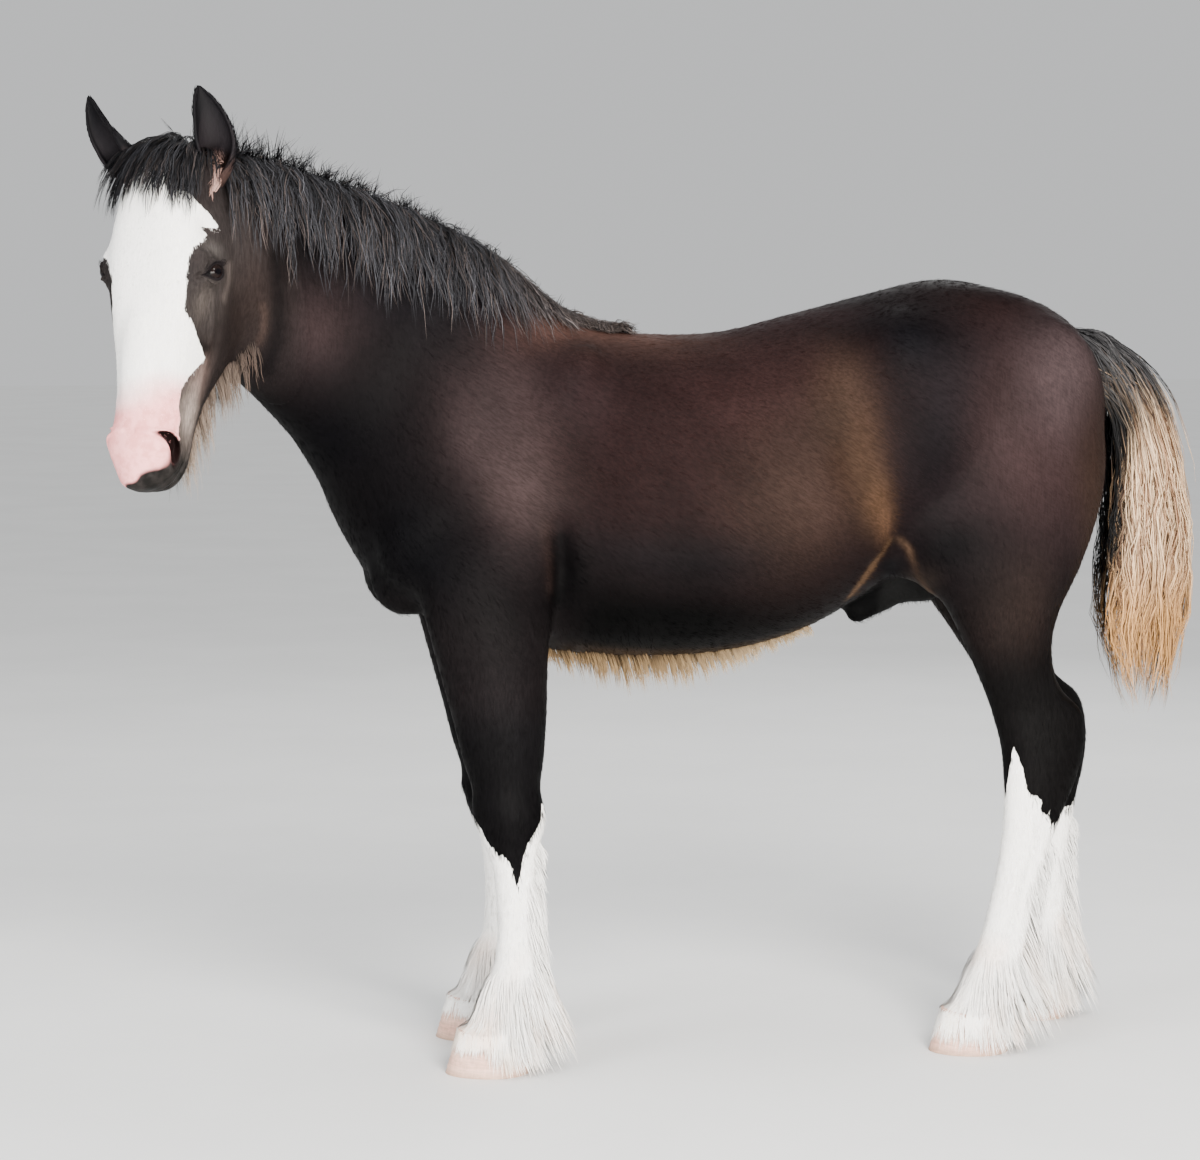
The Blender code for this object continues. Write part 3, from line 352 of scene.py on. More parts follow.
def new_object(name, mesh):
    """A scene object from a bmesh, which it frees."""
    data = bpy.data.meshes.new(name)
    mesh.to_mesh(data)
    mesh.free()
    made = bpy.data.objects.new(name, data)
    bpy.context.scene.collection.objects.link(made)
    return made


def settle(thing):
    """Applies the object's modifiers."""
    graph = bpy.context.evaluated_depsgraph_get()
    data = bpy.data.meshes.new_from_object(thing.evaluated_get(graph))
    thing.modifiers.clear()
    thing.data = data
    return thing


# Number tools


def unit(a):
    return a / np.maximum(np.linalg.norm(a, axis=-1, keepdims=True), 1e-9)


def smooth(low, high, x):
    t = np.clip((x - low) / (high - low), 0, 1)
    return t * t * (3 - 2 * t)


def linear(r, g, b):
    """A colour from its 0 to 255 screen values."""
    c = np.array((r, g, b), float) / 255
    return np.where(c <= 0.04045, c / 12.92, ((c + 0.055) / 1.055) ** 2.4)


def dots(a, b):
    return np.einsum("...k,...k->...", a, b)


def blend(a, b, share):
    """From a to b by a share, which may be one number for each row."""
    if np.ndim(share) == 1:
        share = share[:, None]
    return a + (b - a) * share


def hump(*parts):
    """1 where every distance is 0, falling softly to 0; each part is a distance and its reach."""
    return np.exp(sum(-((gap / reach) ** 2) for gap, reach in parts))


def ramp(ends, share):
    """The colour at a share of the way between two screen colours."""
    return blend(linear(*ends[0]), linear(*ends[1]), share)


def wander(a, b, seed):
    """A smooth, irregular value from about -1 to 1 at places (a, b)."""
    rng = np.random.default_rng(seed)
    total = 0
    for _ in range(6):
        way = rng.normal(size=2)
        total = total + np.sin(a * way[0] * 6 + b * way[1] * 6 + rng.uniform(0, 6.3))
    return total / 2.6


def mesh_arrays(thing):
    """Points and triangles of an object's mesh."""
    data = thing.data
    points = np.zeros(len(data.vertices) * 3)
    data.vertices.foreach_get("co", points)
    data.calc_loop_triangles()
    corners = np.zeros(len(data.loop_triangles) * 3, np.int32)
    data.loop_triangles.foreach_get("vertices", corners)
    return points.reshape(-1, 3), corners.reshape(-1, 3)


def form_arrays(mesh):
    """Points and triangles of a bmesh, which it frees."""
    bmesh.ops.triangulate(mesh, faces=mesh.faces[:])
    thing = new_object("form", mesh)
    points, triangles = mesh_arrays(thing)
    bpy.data.objects.remove(thing)
    return points, triangles


def point_normals(points, triangles):
    a, b, c = (points[triangles[:, k]] for k in range(3))
    flat = np.cross(b - a, c - a)
    total = np.zeros_like(points)
    for k in range(3):
        for axis in range(3):
            total[:, axis] += np.bincount(triangles[:, k], flat[:, axis], len(points))
    return unit(total)


def triangle_edges(triangles):
    pairs = np.vstack([triangles[:, [0, 1]], triangles[:, [1, 2]], triangles[:, [2, 0]]])
    return np.unique(np.sort(pairs, axis=1), axis=0)


def relax(points, edges, weight, rounds):
    """Laplacian smoothing by numbers, weighted at each point."""
    ends = np.concatenate([edges[:, 0], edges[:, 1]])
    others = np.concatenate([edges[:, 1], edges[:, 0]])
    count = np.maximum(np.bincount(ends, minlength=len(points)), 1)[:, None]
    for _ in range(rounds):
        mean = np.stack([np.bincount(ends, points[others, k], len(points)) for k in range(3)], 1) / count
        points = points + (mean - points) * (0.5 * weight)[:, None]
    return points


def distance_to_line(points, line):
    """Distance from each point to a line through a few places, and how far along it the nearest place is."""
    line = np.array(line, float)
    lengths = np.linalg.norm(np.diff(line, axis=0), axis=1)
    best, share = np.full(len(points), 9.0), np.zeros(len(points))
    run = 0.0
    for a, b, length in zip(line, line[1:], lengths):
        t = np.clip(dots(points - a, b - a) / length**2, 0, 1)
        gap = np.linalg.norm(points - a - t[:, None] * (b - a), axis=1)
        near = gap < best
        best, share = np.where(near, gap, best), np.where(near, (run + t * length) / lengths.sum(), share)
        run += length
    return best, share


SIDES = (-1, 1)
ALONG_N, DEPTH_N, LEFT_N, POLL_N = (np.array(v) for v in (ALONG, DEPTH, HEAD_LEFT, POLL))
# The plane between throat and head, as a place along and deep and its way, and where each ends at x
THROAT, THROAT_WAY = (0.160, 0.275), (0.364, 0.931)
HEAD_END, HEAD_SOFT_END = -0.62, -0.58
HEAD_ROWS = smooth_rows(HEAD, 4)
TRUNK_ROWS = smooth_rows(TRUNK, 4)
TRUNK_ROWS = TRUNK_ROWS[(TRUNK_ROWS[:, 0] + TRUNK_ROWS[:, 2]).argsort()]
CREST_ROWS = TRUNK_ROWS[TRUNK_ROWS[:, 0].argsort()]
LEG_LINES = {}
for leg_name in LEGS:
    rows = [((f + b) / 2, (f - b).length / 2, h) for f, b, h in leg_sections(leg_name)]
    LEG_LINES[leg_name] = np.array([(m.z, m.x, m.y, reach, h) for m, reach, h in rows])[::-1]


def head_coords(points):
    h = points - POLL_N
    return h @ ALONG_N, h @ DEPTH_N, h @ LEFT_N


def face_angle(points):
    """Place along the head and the angle round its axis from the middle of the face, in degrees."""
    s, d, l = head_coords(points)
    middle = np.interp(s, (HEAD_ROWS[:, 0] + HEAD_ROWS[:, 2]) / 2, (HEAD_ROWS[:, 1] + HEAD_ROWS[:, 3]) / 2)
    return s, np.degrees(np.arctan2(l, middle - d))


def past_throat(points):
    """How far each point lies on the head's side of the throat, in metres."""
    s, d, l = head_coords(points)
    return (s - THROAT[0]) * THROAT_WAY[0] - (d - THROAT[1]) * THROAT_WAY[1]


def on_head(points):
    return (past_throat(points) > 0) & (points[:, 0] < HEAD_END)


def head_share(points):
    """The same with a soft edge, from 0 to 1."""
    return smooth(-0.02, 0.05, past_throat(points)) * (points[:, 0] < HEAD_SOFT_END)


# Where the legs end above and along x; above HIND_LOW a hind leg also lies apart from the middle
FORE_TOP, FORE_START, FORE_END = 0.80, -0.55, 0.12
HIND_TOP, HIND_START, HIND_END, HIND_APART, HIND_LOW = 0.90, 0.50, 1.25, 0.06, 0.70


def leg_index(points):
    """Which leg each point is on, 0 to 3 in the order of LEGS, or -1."""
    x, y, z = points.T
    fore = (z < FORE_TOP) & (x > FORE_START) & (x < FORE_END)
    hind = (z < HIND_TOP) & (x > HIND_START) & (x < HIND_END) & ((np.abs(y) > HIND_APART) | (z < HIND_LOW))
    found = np.where(fore, np.where(y < 0, 0, 1), -1)
    return np.where(hind, np.where(y < 0, 2, 3), found)


# The skin


def refine(mesh, near):
    """Splits the faces whose middle is near something into four."""
    edges = {e for f in mesh.faces if near(f.calc_center_median()) for e in f.edges}
    bmesh.ops.subdivide_edges(mesh, edges=list(edges), cuts=1, use_grid_fill=True)


def eye_frame(side):
    """Middle of one eye, the way it looks out, the way to its front corner and the way up over it."""
    centre = head_point(EYE_CENTRE.x, EYE_CENTRE.y, side * EYE_CENTRE.z)
    out = (HEAD_LEFT * side - DEPTH * 0.27 + ALONG * 0.05).normalized()
    front = ALONG * 0.42 - DEPTH * 0.91
    front = (front - out * front.dot(out)).normalized()
    high = out.cross(front)
    high = high if high.dot(ALONG) < 0 else -high
    return tuple(np.array(v) for v in (centre, out, front, high))


def broad_share(points):
    """1 on the trunk, neck and upper legs, where muscles blend widely, to 0 on the head and feet."""
    from_head = np.linalg.norm(points - np.array(head_point(0.20, 0.12, 0)), axis=1)
    leg = np.clip((points[:, 2] - 0.62) / 0.25, 0.15, 1.0)
    return np.clip((from_head - 0.26) / 0.12, 0.0, 1.0) * leg * np.where(points[:, 0] > 0.99, 0.3, 1.0)


# Rounds of smoothing: all over, where muscles blend, at the points of the hips and on the head
SKIN_ROUNDS, MUSCLE_ROUNDS, HIP_ROUNDS, HEAD_ROUNDS = 6, 40, 120, 5
HIP, HIP_REACH = (0.55, 0.175, 1.43), 0.15


def near_any(spots, reach):
    return lambda p: min((p - spot).length for spot in spots) < reach


def fuse_skin():
    """The skin as one closed surface over all the forms, finest at the eyes, nostrils and muzzle."""
    flesh = new_object("flesh", flesh_forms())
    fuse = flesh.modifiers.new("Fuse", "REMESH")
    fuse.mode = "VOXEL"
    fuse.voxel_size = SKIN_VOXEL
    settle(flesh)
    points = mesh_arrays(flesh)[0]
    edges = np.zeros(len(flesh.data.edges) * 2, np.int32)
    flesh.data.edges.foreach_get("vertices", edges)
    edges = edges.reshape(-1, 2)
    points = relax(points, edges, np.full(len(points), 0.5), SKIN_ROUNDS)
    points = relax(points, edges, 0.5 * broad_share(points), MUSCLE_ROUNDS)
    for side in SIDES:
        away = np.linalg.norm(points - np.array(HIP) * (1, side, 1), axis=1)
        points = relax(points, edges, 0.9 * hump((away, HIP_REACH)), HIP_ROUNDS)
    flesh.data.vertices.foreach_set("co", points.ravel())
    mesh = bmesh.new()
    mesh.from_mesh(flesh.data)
    bpy.data.objects.remove(flesh)
    eyes, nostrils = ([head_point(spot.x, spot.y, side * spot.z) for side in SIDES]
                      for spot in (EYE_CENTRE, NOSTRIL_CENTRE))
    face, muzzle = head_point(0.28, 0.12, 0), head_point(0.570, 0.09, 0)
    refine(mesh, lambda p: (p - face).length < 0.40 and (p - POLL).dot(ALONG) > -0.05 and p.x < -0.60)
    near_eyes, near_muzzle = near_any(eyes, 0.050), near_any([muzzle], 0.105)
    refine(mesh, lambda p: near_eyes(p) or near_muzzle(p))
    at_eyes, at_nostrils = near_any(eyes, 0.037), near_any(nostrils, 0.036)
    refine(mesh, lambda p: at_eyes(p) or at_nostrils(p))
    points, triangles = form_arrays(mesh)
    head = smooth(0.46, 0.40, np.linalg.norm(points - np.array(face), axis=1))
    return relax(points, triangle_edges(triangles), head, HEAD_ROUNDS), triangles


# Creases (negative) and ridges (positive) of the body on both sides: depth, half width, places they pass
BODY_LINES = [
    (-0.020, 0.020, [(-0.146, 0.210, 1.075), (-0.140, 0.200, 0.980), (-0.145, 0.160, 0.890)]),
    (-0.020, 0.026, [(0.516, 0.200, 1.010), (0.520, 0.150, 0.965), (0.540, 0.090, 0.930)]),
    (0.004, 0.040, [(-0.120, 0.16, 1.360), (-0.250, 0.18, 1.200), (-0.370, 0.17, 1.080)]),
    (-0.004, 0.026, [(-0.170, 0.15, 1.400), (-0.320, 0.16, 1.240), (-0.440, 0.14, 1.120)]),
    (-0.006, 0.030, [(-0.300, 0.18, 0.955), (-0.200, 0.22, 0.930), (-0.140, 0.20, 0.920)]),
    (0.009, 0.026, [(0.430, 0.24, 1.120), (0.490, 0.22, 1.010), (0.560, 0.20, 0.930)]),
    (-0.010, 0.040, [(0.400, 0.26, 1.240), (0.430, 0.25, 1.120)]),
    (-0.005, 0.022, [(0.880, 0.20, 1.330), (0.890, 0.20, 1.180), (0.850, 0.18, 1.020), (0.800, 0.16, 0.900)]),
    (0.004, 0.030, [(0.690, 0.20, 0.960), (0.740, 0.19, 0.850), (0.790, 0.17, 0.740)]),
    (-0.005, 0.020, [(0.860, 0.16, 0.840), (0.870, 0.16, 0.740), (0.890, 0.15, 0.680)]),
    (0.005, 0.018, [(-0.300, 0.155, 0.540), (-0.300, 0.155, 0.500)]),
    (-0.004, 0.012, [(-0.225, 0.200, 0.470), (-0.222, 0.195, 0.300), (-0.225, 0.195, 0.200)]),
    (-0.004, 0.012, [(0.840, 0.185, 0.470), (0.800, 0.180, 0.330), (0.775, 0.180, 0.220)]),
]
# The same on both sides of the head, as places along, deep and sideways
HEAD_LINES = [
    (0.0050, 0.011, [(0.245, 0.085, 0.110), (0.300, 0.100, 0.098), (0.365, 0.108, 0.080)]),
    (-0.0040, 0.012, [(0.290, 0.130, 0.100), (0.360, 0.135, 0.082), (0.420, 0.130, 0.070)]),
    (-0.0060, 0.016, [(0.110, 0.030, 0.090), (0.140, 0.062, 0.108)]),
    (0.0040, 0.012, [(0.165, 0.020, 0.092), (0.185, 0.050, 0.118)]),
    (-0.0050, 0.016, [(0.060, 0.120, 0.094), (0.130, 0.175, 0.112), (0.190, 0.215, 0.110)]),
    (0.0025, 0.007, [(0.300, 0.040, 0.070), (0.360, 0.060, 0.066), (0.400, 0.100, 0.068)]),
    (-0.0025, 0.008, [(0.440, 0.060, 0.070), (0.480, 0.040, 0.064), (0.500, 0.020, 0.052)]),
    (-0.0020, 0.005, [(0.500, 0.100, 0.062), (0.470, 0.110, 0.066), (0.455, 0.125, 0.066)]),
    (-0.0016, 0.004, [(0.495, 0.135, 0.056), (0.475, 0.145, 0.060)]),
]


# The mouth: depth and half width of its line, and the swell, half width and places of the lips beside it
MOUTH_DEPTH, MOUTH_WIDE = 0.0075, 0.0028
LIP_SWELL, LIP_WIDE, LOW_LIP, HIGH_LIP = 0.0022, 0.007, 0.010, -0.011
# The nostril: middle along and deep, turn, half length, half width, depth and height of the rim
NOSTRIL, NOSTRIL_TURN = (0.524, 0.052), math.radians(46)
NOSTRIL_LONG, NOSTRIL_WIDE, NOSTRIL_DEPTH, NOSTRIL_RIM = 0.038, 0.0152, 0.020, 0.0038
# The lids: how far their edge stands off the eyeball and rises beyond it, and their folds as height, distance
# from the edge, half width and share on the lower lid
LID_EDGE, LID_RISE = 0.0006, 0.0034
LID_FOLDS = [(-0.0016, 0.0095, 0.0018, 0.7), (0.0016, 0.0125, 0.0022, 0.5)]


def mirrored(line, side):
    """Places of a body line on one side; on the right hind leg they follow its lean."""
    leaning = side > 0 and line[0][0] > 0.5 and line[0][2] < 1.0
    lean = LEGS["hindleg_right"][3] if leaning else 0
    return [(x + lean * max(0, LEAN_TOP - z), side * y, z) for x, y, z in line]


def press_lines(points):
    """How far the creases and ridges push each point out."""
    push = np.zeros(len(points))
    for side in SIDES:
        lines = [(*size, mirrored(line, side)) for *size, line in BODY_LINES]
        lines += [(*size, [head_point(s, d, side * l) for s, d, l in line]) for *size, line in HEAD_LINES]
        for depth, wide, line in lines:
            gap, share = distance_to_line(points, line)
            push += depth * hump((gap, wide)) * np.sin(np.pi * (0.15 + 0.7 * share))
    return push


def press_mouth(s, d, muzzle):
    """How far the mouth's line and the lips push each point out."""
    way = np.array((MOUTH_FRONT.x - MOUTH_CORNER.x, MOUTH_FRONT.y - MOUTH_CORNER.y))
    way /= np.linalg.norm(way)
    along, deep = s - MOUTH_CORNER.x, d - MOUTH_CORNER.y
    inside = smooth(-0.004, 0.008, along * way[0] + deep * way[1]) * muzzle
    level = deep * way[0] - along * way[1]
    lips = hump((level - LOW_LIP, LIP_WIDE)) + hump((level - HIGH_LIP, LIP_WIDE))
    return inside * (LIP_SWELL * lips - MOUTH_DEPTH * hump((level, MOUTH_WIDE)))


def press_nostrils(points, places, normals, muzzle):
    """Comma-shaped nostrils with a rim; also says how far inside one each point is."""
    s, d, l = places
    inner = np.zeros(len(points))
    turn_cos, turn_sin = math.cos(NOSTRIL_TURN), math.sin(NOSTRIL_TURN)
    a = (s - NOSTRIL[0]) * turn_cos + (d - NOSTRIL[1]) * turn_sin
    b = (d - NOSTRIL[1]) * turn_cos - (s - NOSTRIL[0]) * turn_sin
    b = b + 9.0 * a**2 - 0.004
    q = np.sqrt((a / NOSTRIL_LONG) ** 2 + (b / (NOSTRIL_WIDE + 0.12 * a)) ** 2)
    for side in SIDES:
        here = muzzle & (l * side > 0.012) & (q < 2.2)
        sink = np.array(DEPTH * 0.40 - HEAD_LEFT * side * 0.70 - ALONG * 0.55)
        depth = NOSTRIL_DEPTH * smooth(1.06, 0.62, q) * here
        rim = NOSTRIL_RIM * hump((q - 1.22, 0.20)) * here
        points = points + depth[:, None] * sink + rim[:, None] * normals
        inner = np.maximum(inner, smooth(1.15, 0.90, q) * here)
    return points, inner


def press_lids(points):
    """Lids close round each eyeball, with a fold above and below; also says which points are their edge."""
    lids = np.zeros(len(points))
    for side in SIDES:
        centre, out, front, high = eye_frame(side)
        ray = points - centre
        far = np.linalg.norm(ray, axis=1)
        way = ray / far[:, None]
        near = (far < 0.062) & (way @ out > 0.05)
        a, b = np.arctan2(way @ front, way @ out), np.arctan2(way @ high, way @ out)
        above = b > 0
        edge = LID_HIGH * np.where(above, 1.08, 0.92) * (1 - np.minimum(1, np.abs(a / LID_WIDE)) ** 2.2)
        over, beside = np.abs(b) - edge, np.abs(a) - LID_WIDE
        gap = np.hypot(np.maximum(0, over), 0.8 * np.maximum(0, beside)) * EYE_RADIUS
        gap = np.where((over < 0) & (beside < 0), over * EYE_RADIUS, gap)
        rim = EYE_RADIUS + LID_EDGE + LID_RISE * smooth(0.0, 0.0030, gap)
        for height, place, reach, below in LID_FOLDS:
            rim = rim + height * hump((gap - place, reach)) * np.where(above, 1.0, below)
        wide = rim + (np.maximum(far, EYE_RADIUS + 0.0032) - rim) * smooth(0.008, 0.024, gap)
        wide = np.where(gap < 0, EYE_RADIUS - 0.0050 * smooth(0.0, -0.0016, gap), wide)
        points = np.where(near[:, None], centre + way * wide[:, None], points)
        lids = np.maximum(lids, near * smooth(0.0050, 0.0030, gap))
    return points, lids


def sculpt(points, triangles):
    """Presses the creases, mouth, nostrils and lids into the skin."""
    normals = point_normals(points, triangles)
    s, d, l = head_coords(points)
    muzzle = (s > 0.48) & on_head(points)
    push = press_lines(points) + press_mouth(s, d, muzzle)
    points, inner = press_nostrils(points + normals * push[:, None], (s, d, l), normals, muzzle)
    points, lids = press_lids(points)
    ease = 0.5 * smooth(0.40, 0.30, np.linalg.norm(points - np.array(head_point(0.30, 0.1, 0)), axis=1))
    points = relax(points, triangle_edges(triangles), ease * (1 - inner) * (1 - lids), 1)
    return points, {"inner": inner, "lids": lids}


# How far the skin lies inside the solids, which reach out to the tips of the fur: body, head, muzzle
BODY_COAT, HEAD_COAT, MUZZLE_COAT = 0.0030, 0.0014, 0.0004


def coat_depth(points):
    head = on_head(points)
    depth = np.where(head, HEAD_COAT, BODY_COAT)
    return np.where(head & (head_coords(points)[0] > 0.44), MUZZLE_COAT, depth)


# Markings, the same for skin and coat

# Half angle of the blaze on its left and right side at places along the face
BLAZE_LEFT = [
    (-0.02, 26), (0.05, 32), (0.071, 38), (0.088, 47), (0.1, 58), (0.112, 65), (0.1195, 66), (0.1225, 45),
    (0.128, 46), (0.136, 52), (0.146, 48), (0.157, 43), (0.166, 38), (0.178, 36), (0.194, 34), (0.256, 33),
    (0.278, 35), (0.295, 40), (0.31, 46), (0.326, 53), (0.341, 64), (0.354, 72), (0.37, 70), (0.384, 64),
    (0.397, 59), (0.409, 56), (0.424, 56), (0.456, 65), (0.492, 74), (0.62, 86),
]
BLAZE_RIGHT = [
    (-0.02, 30), (0.05, 50), (0.1, 60), (0.15, 62), (0.172, 58), (0.184, 42), (0.2, 32), (0.225, 27),
    (0.27, 27), (0.3, 32), (0.33, 42), (0.37, 58), (0.42, 66), (0.48, 66), (0.52, 74), (0.62, 86),
]
# Height of the top of the white round each leg, from the front (0 degrees) over the outer side to the back
STOCKINGS = {
    0: ([0, 12, 33, 62, 74, 88, 100, 112, 135, 157, 180],
        [0.500, 0.487, 0.445, 0.428, 0.400, 0.354, 0.400, 0.436, 0.480, 0.520, 0.535]),
    1: ([0, 45, 90, 135, 180], [0.455, 0.430, 0.420, 0.460, 0.500]),
    2: ([0, 14, 24, 36, 50, 80, 110, 135, 150, 165, 180],
        [0.500, 0.560, 0.622, 0.575, 0.530, 0.505, 0.482, 0.462, 0.448, 0.480, 0.490]),
    3: ([0, 40, 90, 135, 180], [0.560, 0.500, 0.450, 0.440, 0.465]),
}


def leg_angle(points, index):
    """Angle round a leg in degrees, from its front to its outer side; negative on the inner side."""
    angle = np.zeros(len(points))
    for k, name in enumerate(LEGS):
        line = LEG_LINES[name]
        x, y = (np.interp(points[:, 2], line[:, 0], line[:, axis]) for axis in (1, 2))
        outer = (points[:, 1] - y) * LEGS[name][0]
        angle = np.where(index == k, np.degrees(np.arctan2(outer, x - points[:, 0])), angle)
    return angle


# Metres of blaze for a degree round the face, its end at the poll, scale on the legs, value where none can be
BLAZE_DEGREE, BLAZE_TOP, STOCKING_SCALE, NO_WHITE = 0.0016, 0.012, 0.6, -0.05


def white_field(points):
    """How far inside a white marking each point lies, in metres; negative outside."""
    z = points[:, 2]
    s, angle = face_angle(points)
    left, right = (np.interp(s, *zip(*edge)) for edge in (BLAZE_LEFT, BLAZE_RIGHT))
    ragged = 0.8 * wander(s * 9, angle * 0.02, 3) + 0.5 * wander(s * 40, angle * 0.08, 4)
    blaze = (np.where(angle > 0, left - angle, right + angle) + ragged) * BLAZE_DEGREE
    field = np.where(on_head(points), np.minimum(blaze, s - BLAZE_TOP), NO_WHITE)
    index = leg_index(points)
    turn = leg_angle(points, index)
    for k, (angles, tops) in STOCKINGS.items():
        top = np.interp(np.abs(turn), angles, tops)
        spikes = 0.005 * wander(turn * 0.05, z * 0.6, 11 + k) + 0.005 * wander(turn * 0.16, z, 21 + k)
        field = np.where(index == k, (top + spikes - z) * STOCKING_SCALE, field)
    return field


DARK = (20, 18, 20)
# Tones of the trunk: colour, place along and up, reach along and up, share; some are painted highlights and
# painted shade
TONES = [
    ((43, 26, 25), (0.12, 1.20), (0.42, 0.26), 1.0),
    ((59, 39, 38), (0.24, 1.38), (0.34, 0.13), 0.9),
    # Painted highlights: the sheen along the top of the withers and the back
    ((196, 146, 130), (-0.02, 1.445), (0.14, 0.045), 0.95),
    ((88, 65, 66), (0.32, 1.475), (0.34, 0.032), 0.75),
    ((46, 32, 33), (-0.12, 1.33), (0.12, 0.09), 0.8),
    # Painted highlight: sheen on the shoulder
    ((84, 67, 66), (-0.21, 1.17), (0.070, 0.14), 0.85),
    ((76, 61, 61), (-0.27, 1.27), (0.085, 0.11), 0.7),
    ((86, 65, 57), (0.32, 1.12), (0.11, 0.14), 0.7),
    # Coat colour of the haunch with its sheen painted in as a highlight
    ((71, 53, 53), (0.77, 1.24), (0.20, 0.22), 1.0),
    ((47, 31, 30), (0.72, 1.50), (0.24, 0.060), 0.85),
    ((104, 87, 88), (0.86, 1.36), (0.08, 0.11), 0.8),
    ((18, 16, 20), (0.52, 1.41), (0.13, 0.10), 0.92),
    ((26, 23, 27), (0.61, 1.24), (0.085, 0.17), 0.85),
    ((90, 70, 56), (0.385, 1.30), (0.055, 0.090), 0.45),
    ((106, 78, 59), (0.437, 1.20), (0.045, 0.080), 0.60),
    ((120, 89, 66), (0.478, 1.125), (0.032, 0.055), 0.70),
    ((138, 102, 76), (0.502, 1.080), (0.018, 0.036), 0.6),
    # Painted shade: the pocket of the stifle fold and the inner thigh
    ((4, 4, 6), (0.635, 1.02), (0.090, 0.085), 0.97),
    ((9, 8, 10), (0.690, 0.92), (0.045, 0.080), 0.85),
    ((62, 52, 46), (0.588, 0.952), (0.026, 0.034), 0.75),
    ((66, 50, 42), (0.93, 1.14), (0.05, 0.18), 0.8),
    # Painted shade on the chest, the front of the neck, under the belly and behind the elbow
    ((6, 6, 9), (-0.42, 1.02), (0.14, 0.15), 1.0),
    ((7, 6, 9), (-0.60, 1.24), (0.17, 0.12), 0.97),
    ((26, 21, 23), (0.06, 1.00), (0.28, 0.060), 0.8),
    ((3, 3, 3), (0.02, 0.87), (0.42, 0.080), 1.0),
    ((6, 5, 6), (-0.135, 0.95), (0.040, 0.11), 0.95),
    ((76, 60, 60), (-0.610, 1.46), (0.085, 0.085), 0.90),
    ((26, 23, 28), (-0.37, 1.52), (0.18, 0.09), 0.7),
    ((58, 46, 42), (0.76, 0.88), (0.075, 0.11), 0.85),
]
# Soft streaks on both sides of the body, most of them painted shade in the folds and painted highlights on
# their rims: colour, half width, share, places they pass
STREAKS = [
    # Painted shade in the fold behind the elbow
    ((5, 4, 5), 0.020, 0.95, [(-0.143, 0.215, 1.065), (-0.150, 0.205, 0.990), (-0.140, 0.170, 0.900)]),
    ((70, 54, 50), 0.012, 0.5, [(-0.175, 0.215, 1.090), (-0.172, 0.205, 1.010), (-0.165, 0.190, 0.930)]),
    # Painted shade in the flank's fold in front of the stifle
    ((18, 17, 19), 0.026, 1.0, [(0.516, 0.190, 0.992), (0.522, 0.130, 0.950), (0.560, 0.060, 0.910)]),
    # Painted highlights in tan along the rims of that fold, under the flank and down the front of the thigh
    ((126, 96, 70), 0.009, 0.75,
     [(0.509, 0.215, 1.045), (0.486, 0.200, 0.995), (0.462, 0.172, 0.950), (0.440, 0.125, 0.905)]),
    ((104, 80, 62), 0.008, 0.7,
     [(0.515, 0.210, 1.045), (0.552, 0.196, 1.012), (0.590, 0.172, 0.940), (0.640, 0.160, 0.860)]),
]
# The same on both sides of the head and throat, as places along, deep and sideways; the first two are a
# painted shadow and a painted highlight
HEAD_STREAKS = [
    # Painted shadow along the rear edge of the jaw
    ((8, 7, 9), 0.021, 0.7,
     [(0.10, 0.205, 0.138), (0.166, 0.229, 0.142), (0.219, 0.247, 0.142), (0.263, 0.264, 0.137),
      (0.300, 0.276, 0.125), (0.335, 0.290, 0.105), (0.368, 0.321, 0.077)]),
    # Painted highlight on the edge of the jaw
    ((92, 74, 66), 0.008, 0.55,
     [(0.224, 0.215, 0.125), (0.249, 0.232, 0.125), (0.284, 0.246, 0.116), (0.312, 0.252, 0.098)]),
    ((112, 101, 96), 0.010, 0.6, [(0.165, 0.122, 0.104), (0.200, 0.132, 0.102), (0.250, 0.118, 0.100)]),
]
# Tones of the head: colour, place along and deep, reach along and deep, share
HEAD_TONES = [
    ((70, 64, 62), (0.24, 0.10), (0.14, 0.10), 1.0),
    ((56, 46, 43), (0.24, 0.20), (0.10, 0.07), 0.9),
    ((98, 90, 85), (0.262, 0.058), (0.034, 0.020), 0.75),
    ((110, 104, 101), (0.158, 0.070), (0.014, 0.034), 0.8),
    ((66, 60, 59), (0.09, 0.10), (0.06, 0.06), 0.8),
    ((36, 30, 29), (0.31, 0.16), (0.06, 0.050), 0.6),
    ((156, 132, 124), (0.395, 0.106), (0.046, 0.026), 0.9),
    ((180, 164, 154), (0.462, 0.098), (0.050, 0.030), 1.0),
    ((24, 20, 19), (0.475, 0.155), (0.045, 0.018), 0.95),
    ((26, 22, 21), (0.337, 0.092), (0.015, 0.024), 0.9),
    ((84, 78, 74), (0.545, 0.104), (0.026, 0.030), 0.8),
    ((196, 178, 160), (0.564, 0.200), (0.016, 0.016), 0.8),
]
# Areas with soft edges: colour, share, and each edge as (what it is measured on, from, to)
AREAS = [
    ((74, 58, 44), 0.8, [("facing", -0.70, -0.98), ("x", -0.20, -0.10), ("x", 0.42, 0.36),
                         ("z", 0.92, 0.86), ("aside", 0.14, 0.08)]),
    ((34, 29, 30), 0.85, [("z", 1.00, 0.82), ("x", -0.06, -0.15), ("x", -0.600001, -0.60)]),
    ((20, 19, 21), 0.85, [("z", 0.76, 0.66), ("x", -0.06, -0.15), ("x", -0.600001, -0.60)]),
    ((23, 21, 21), 0.85, [("z", 0.84, 0.72), ("x", 0.5, 0.500001)]),
    ((32, 32, 32), 1.0, [("aside", 0.080, 0.060), ("z", 0.98, 0.95), ("x", 0.44, 0.47), ("x", 0.74, 0.70)]),
    ((8, 8, 9), 1.0, [("aside", 0.080, 0.060), ("z", 0.98, 0.95), ("x", 0.44, 0.47), ("x", 0.545, 0.525)]),
]
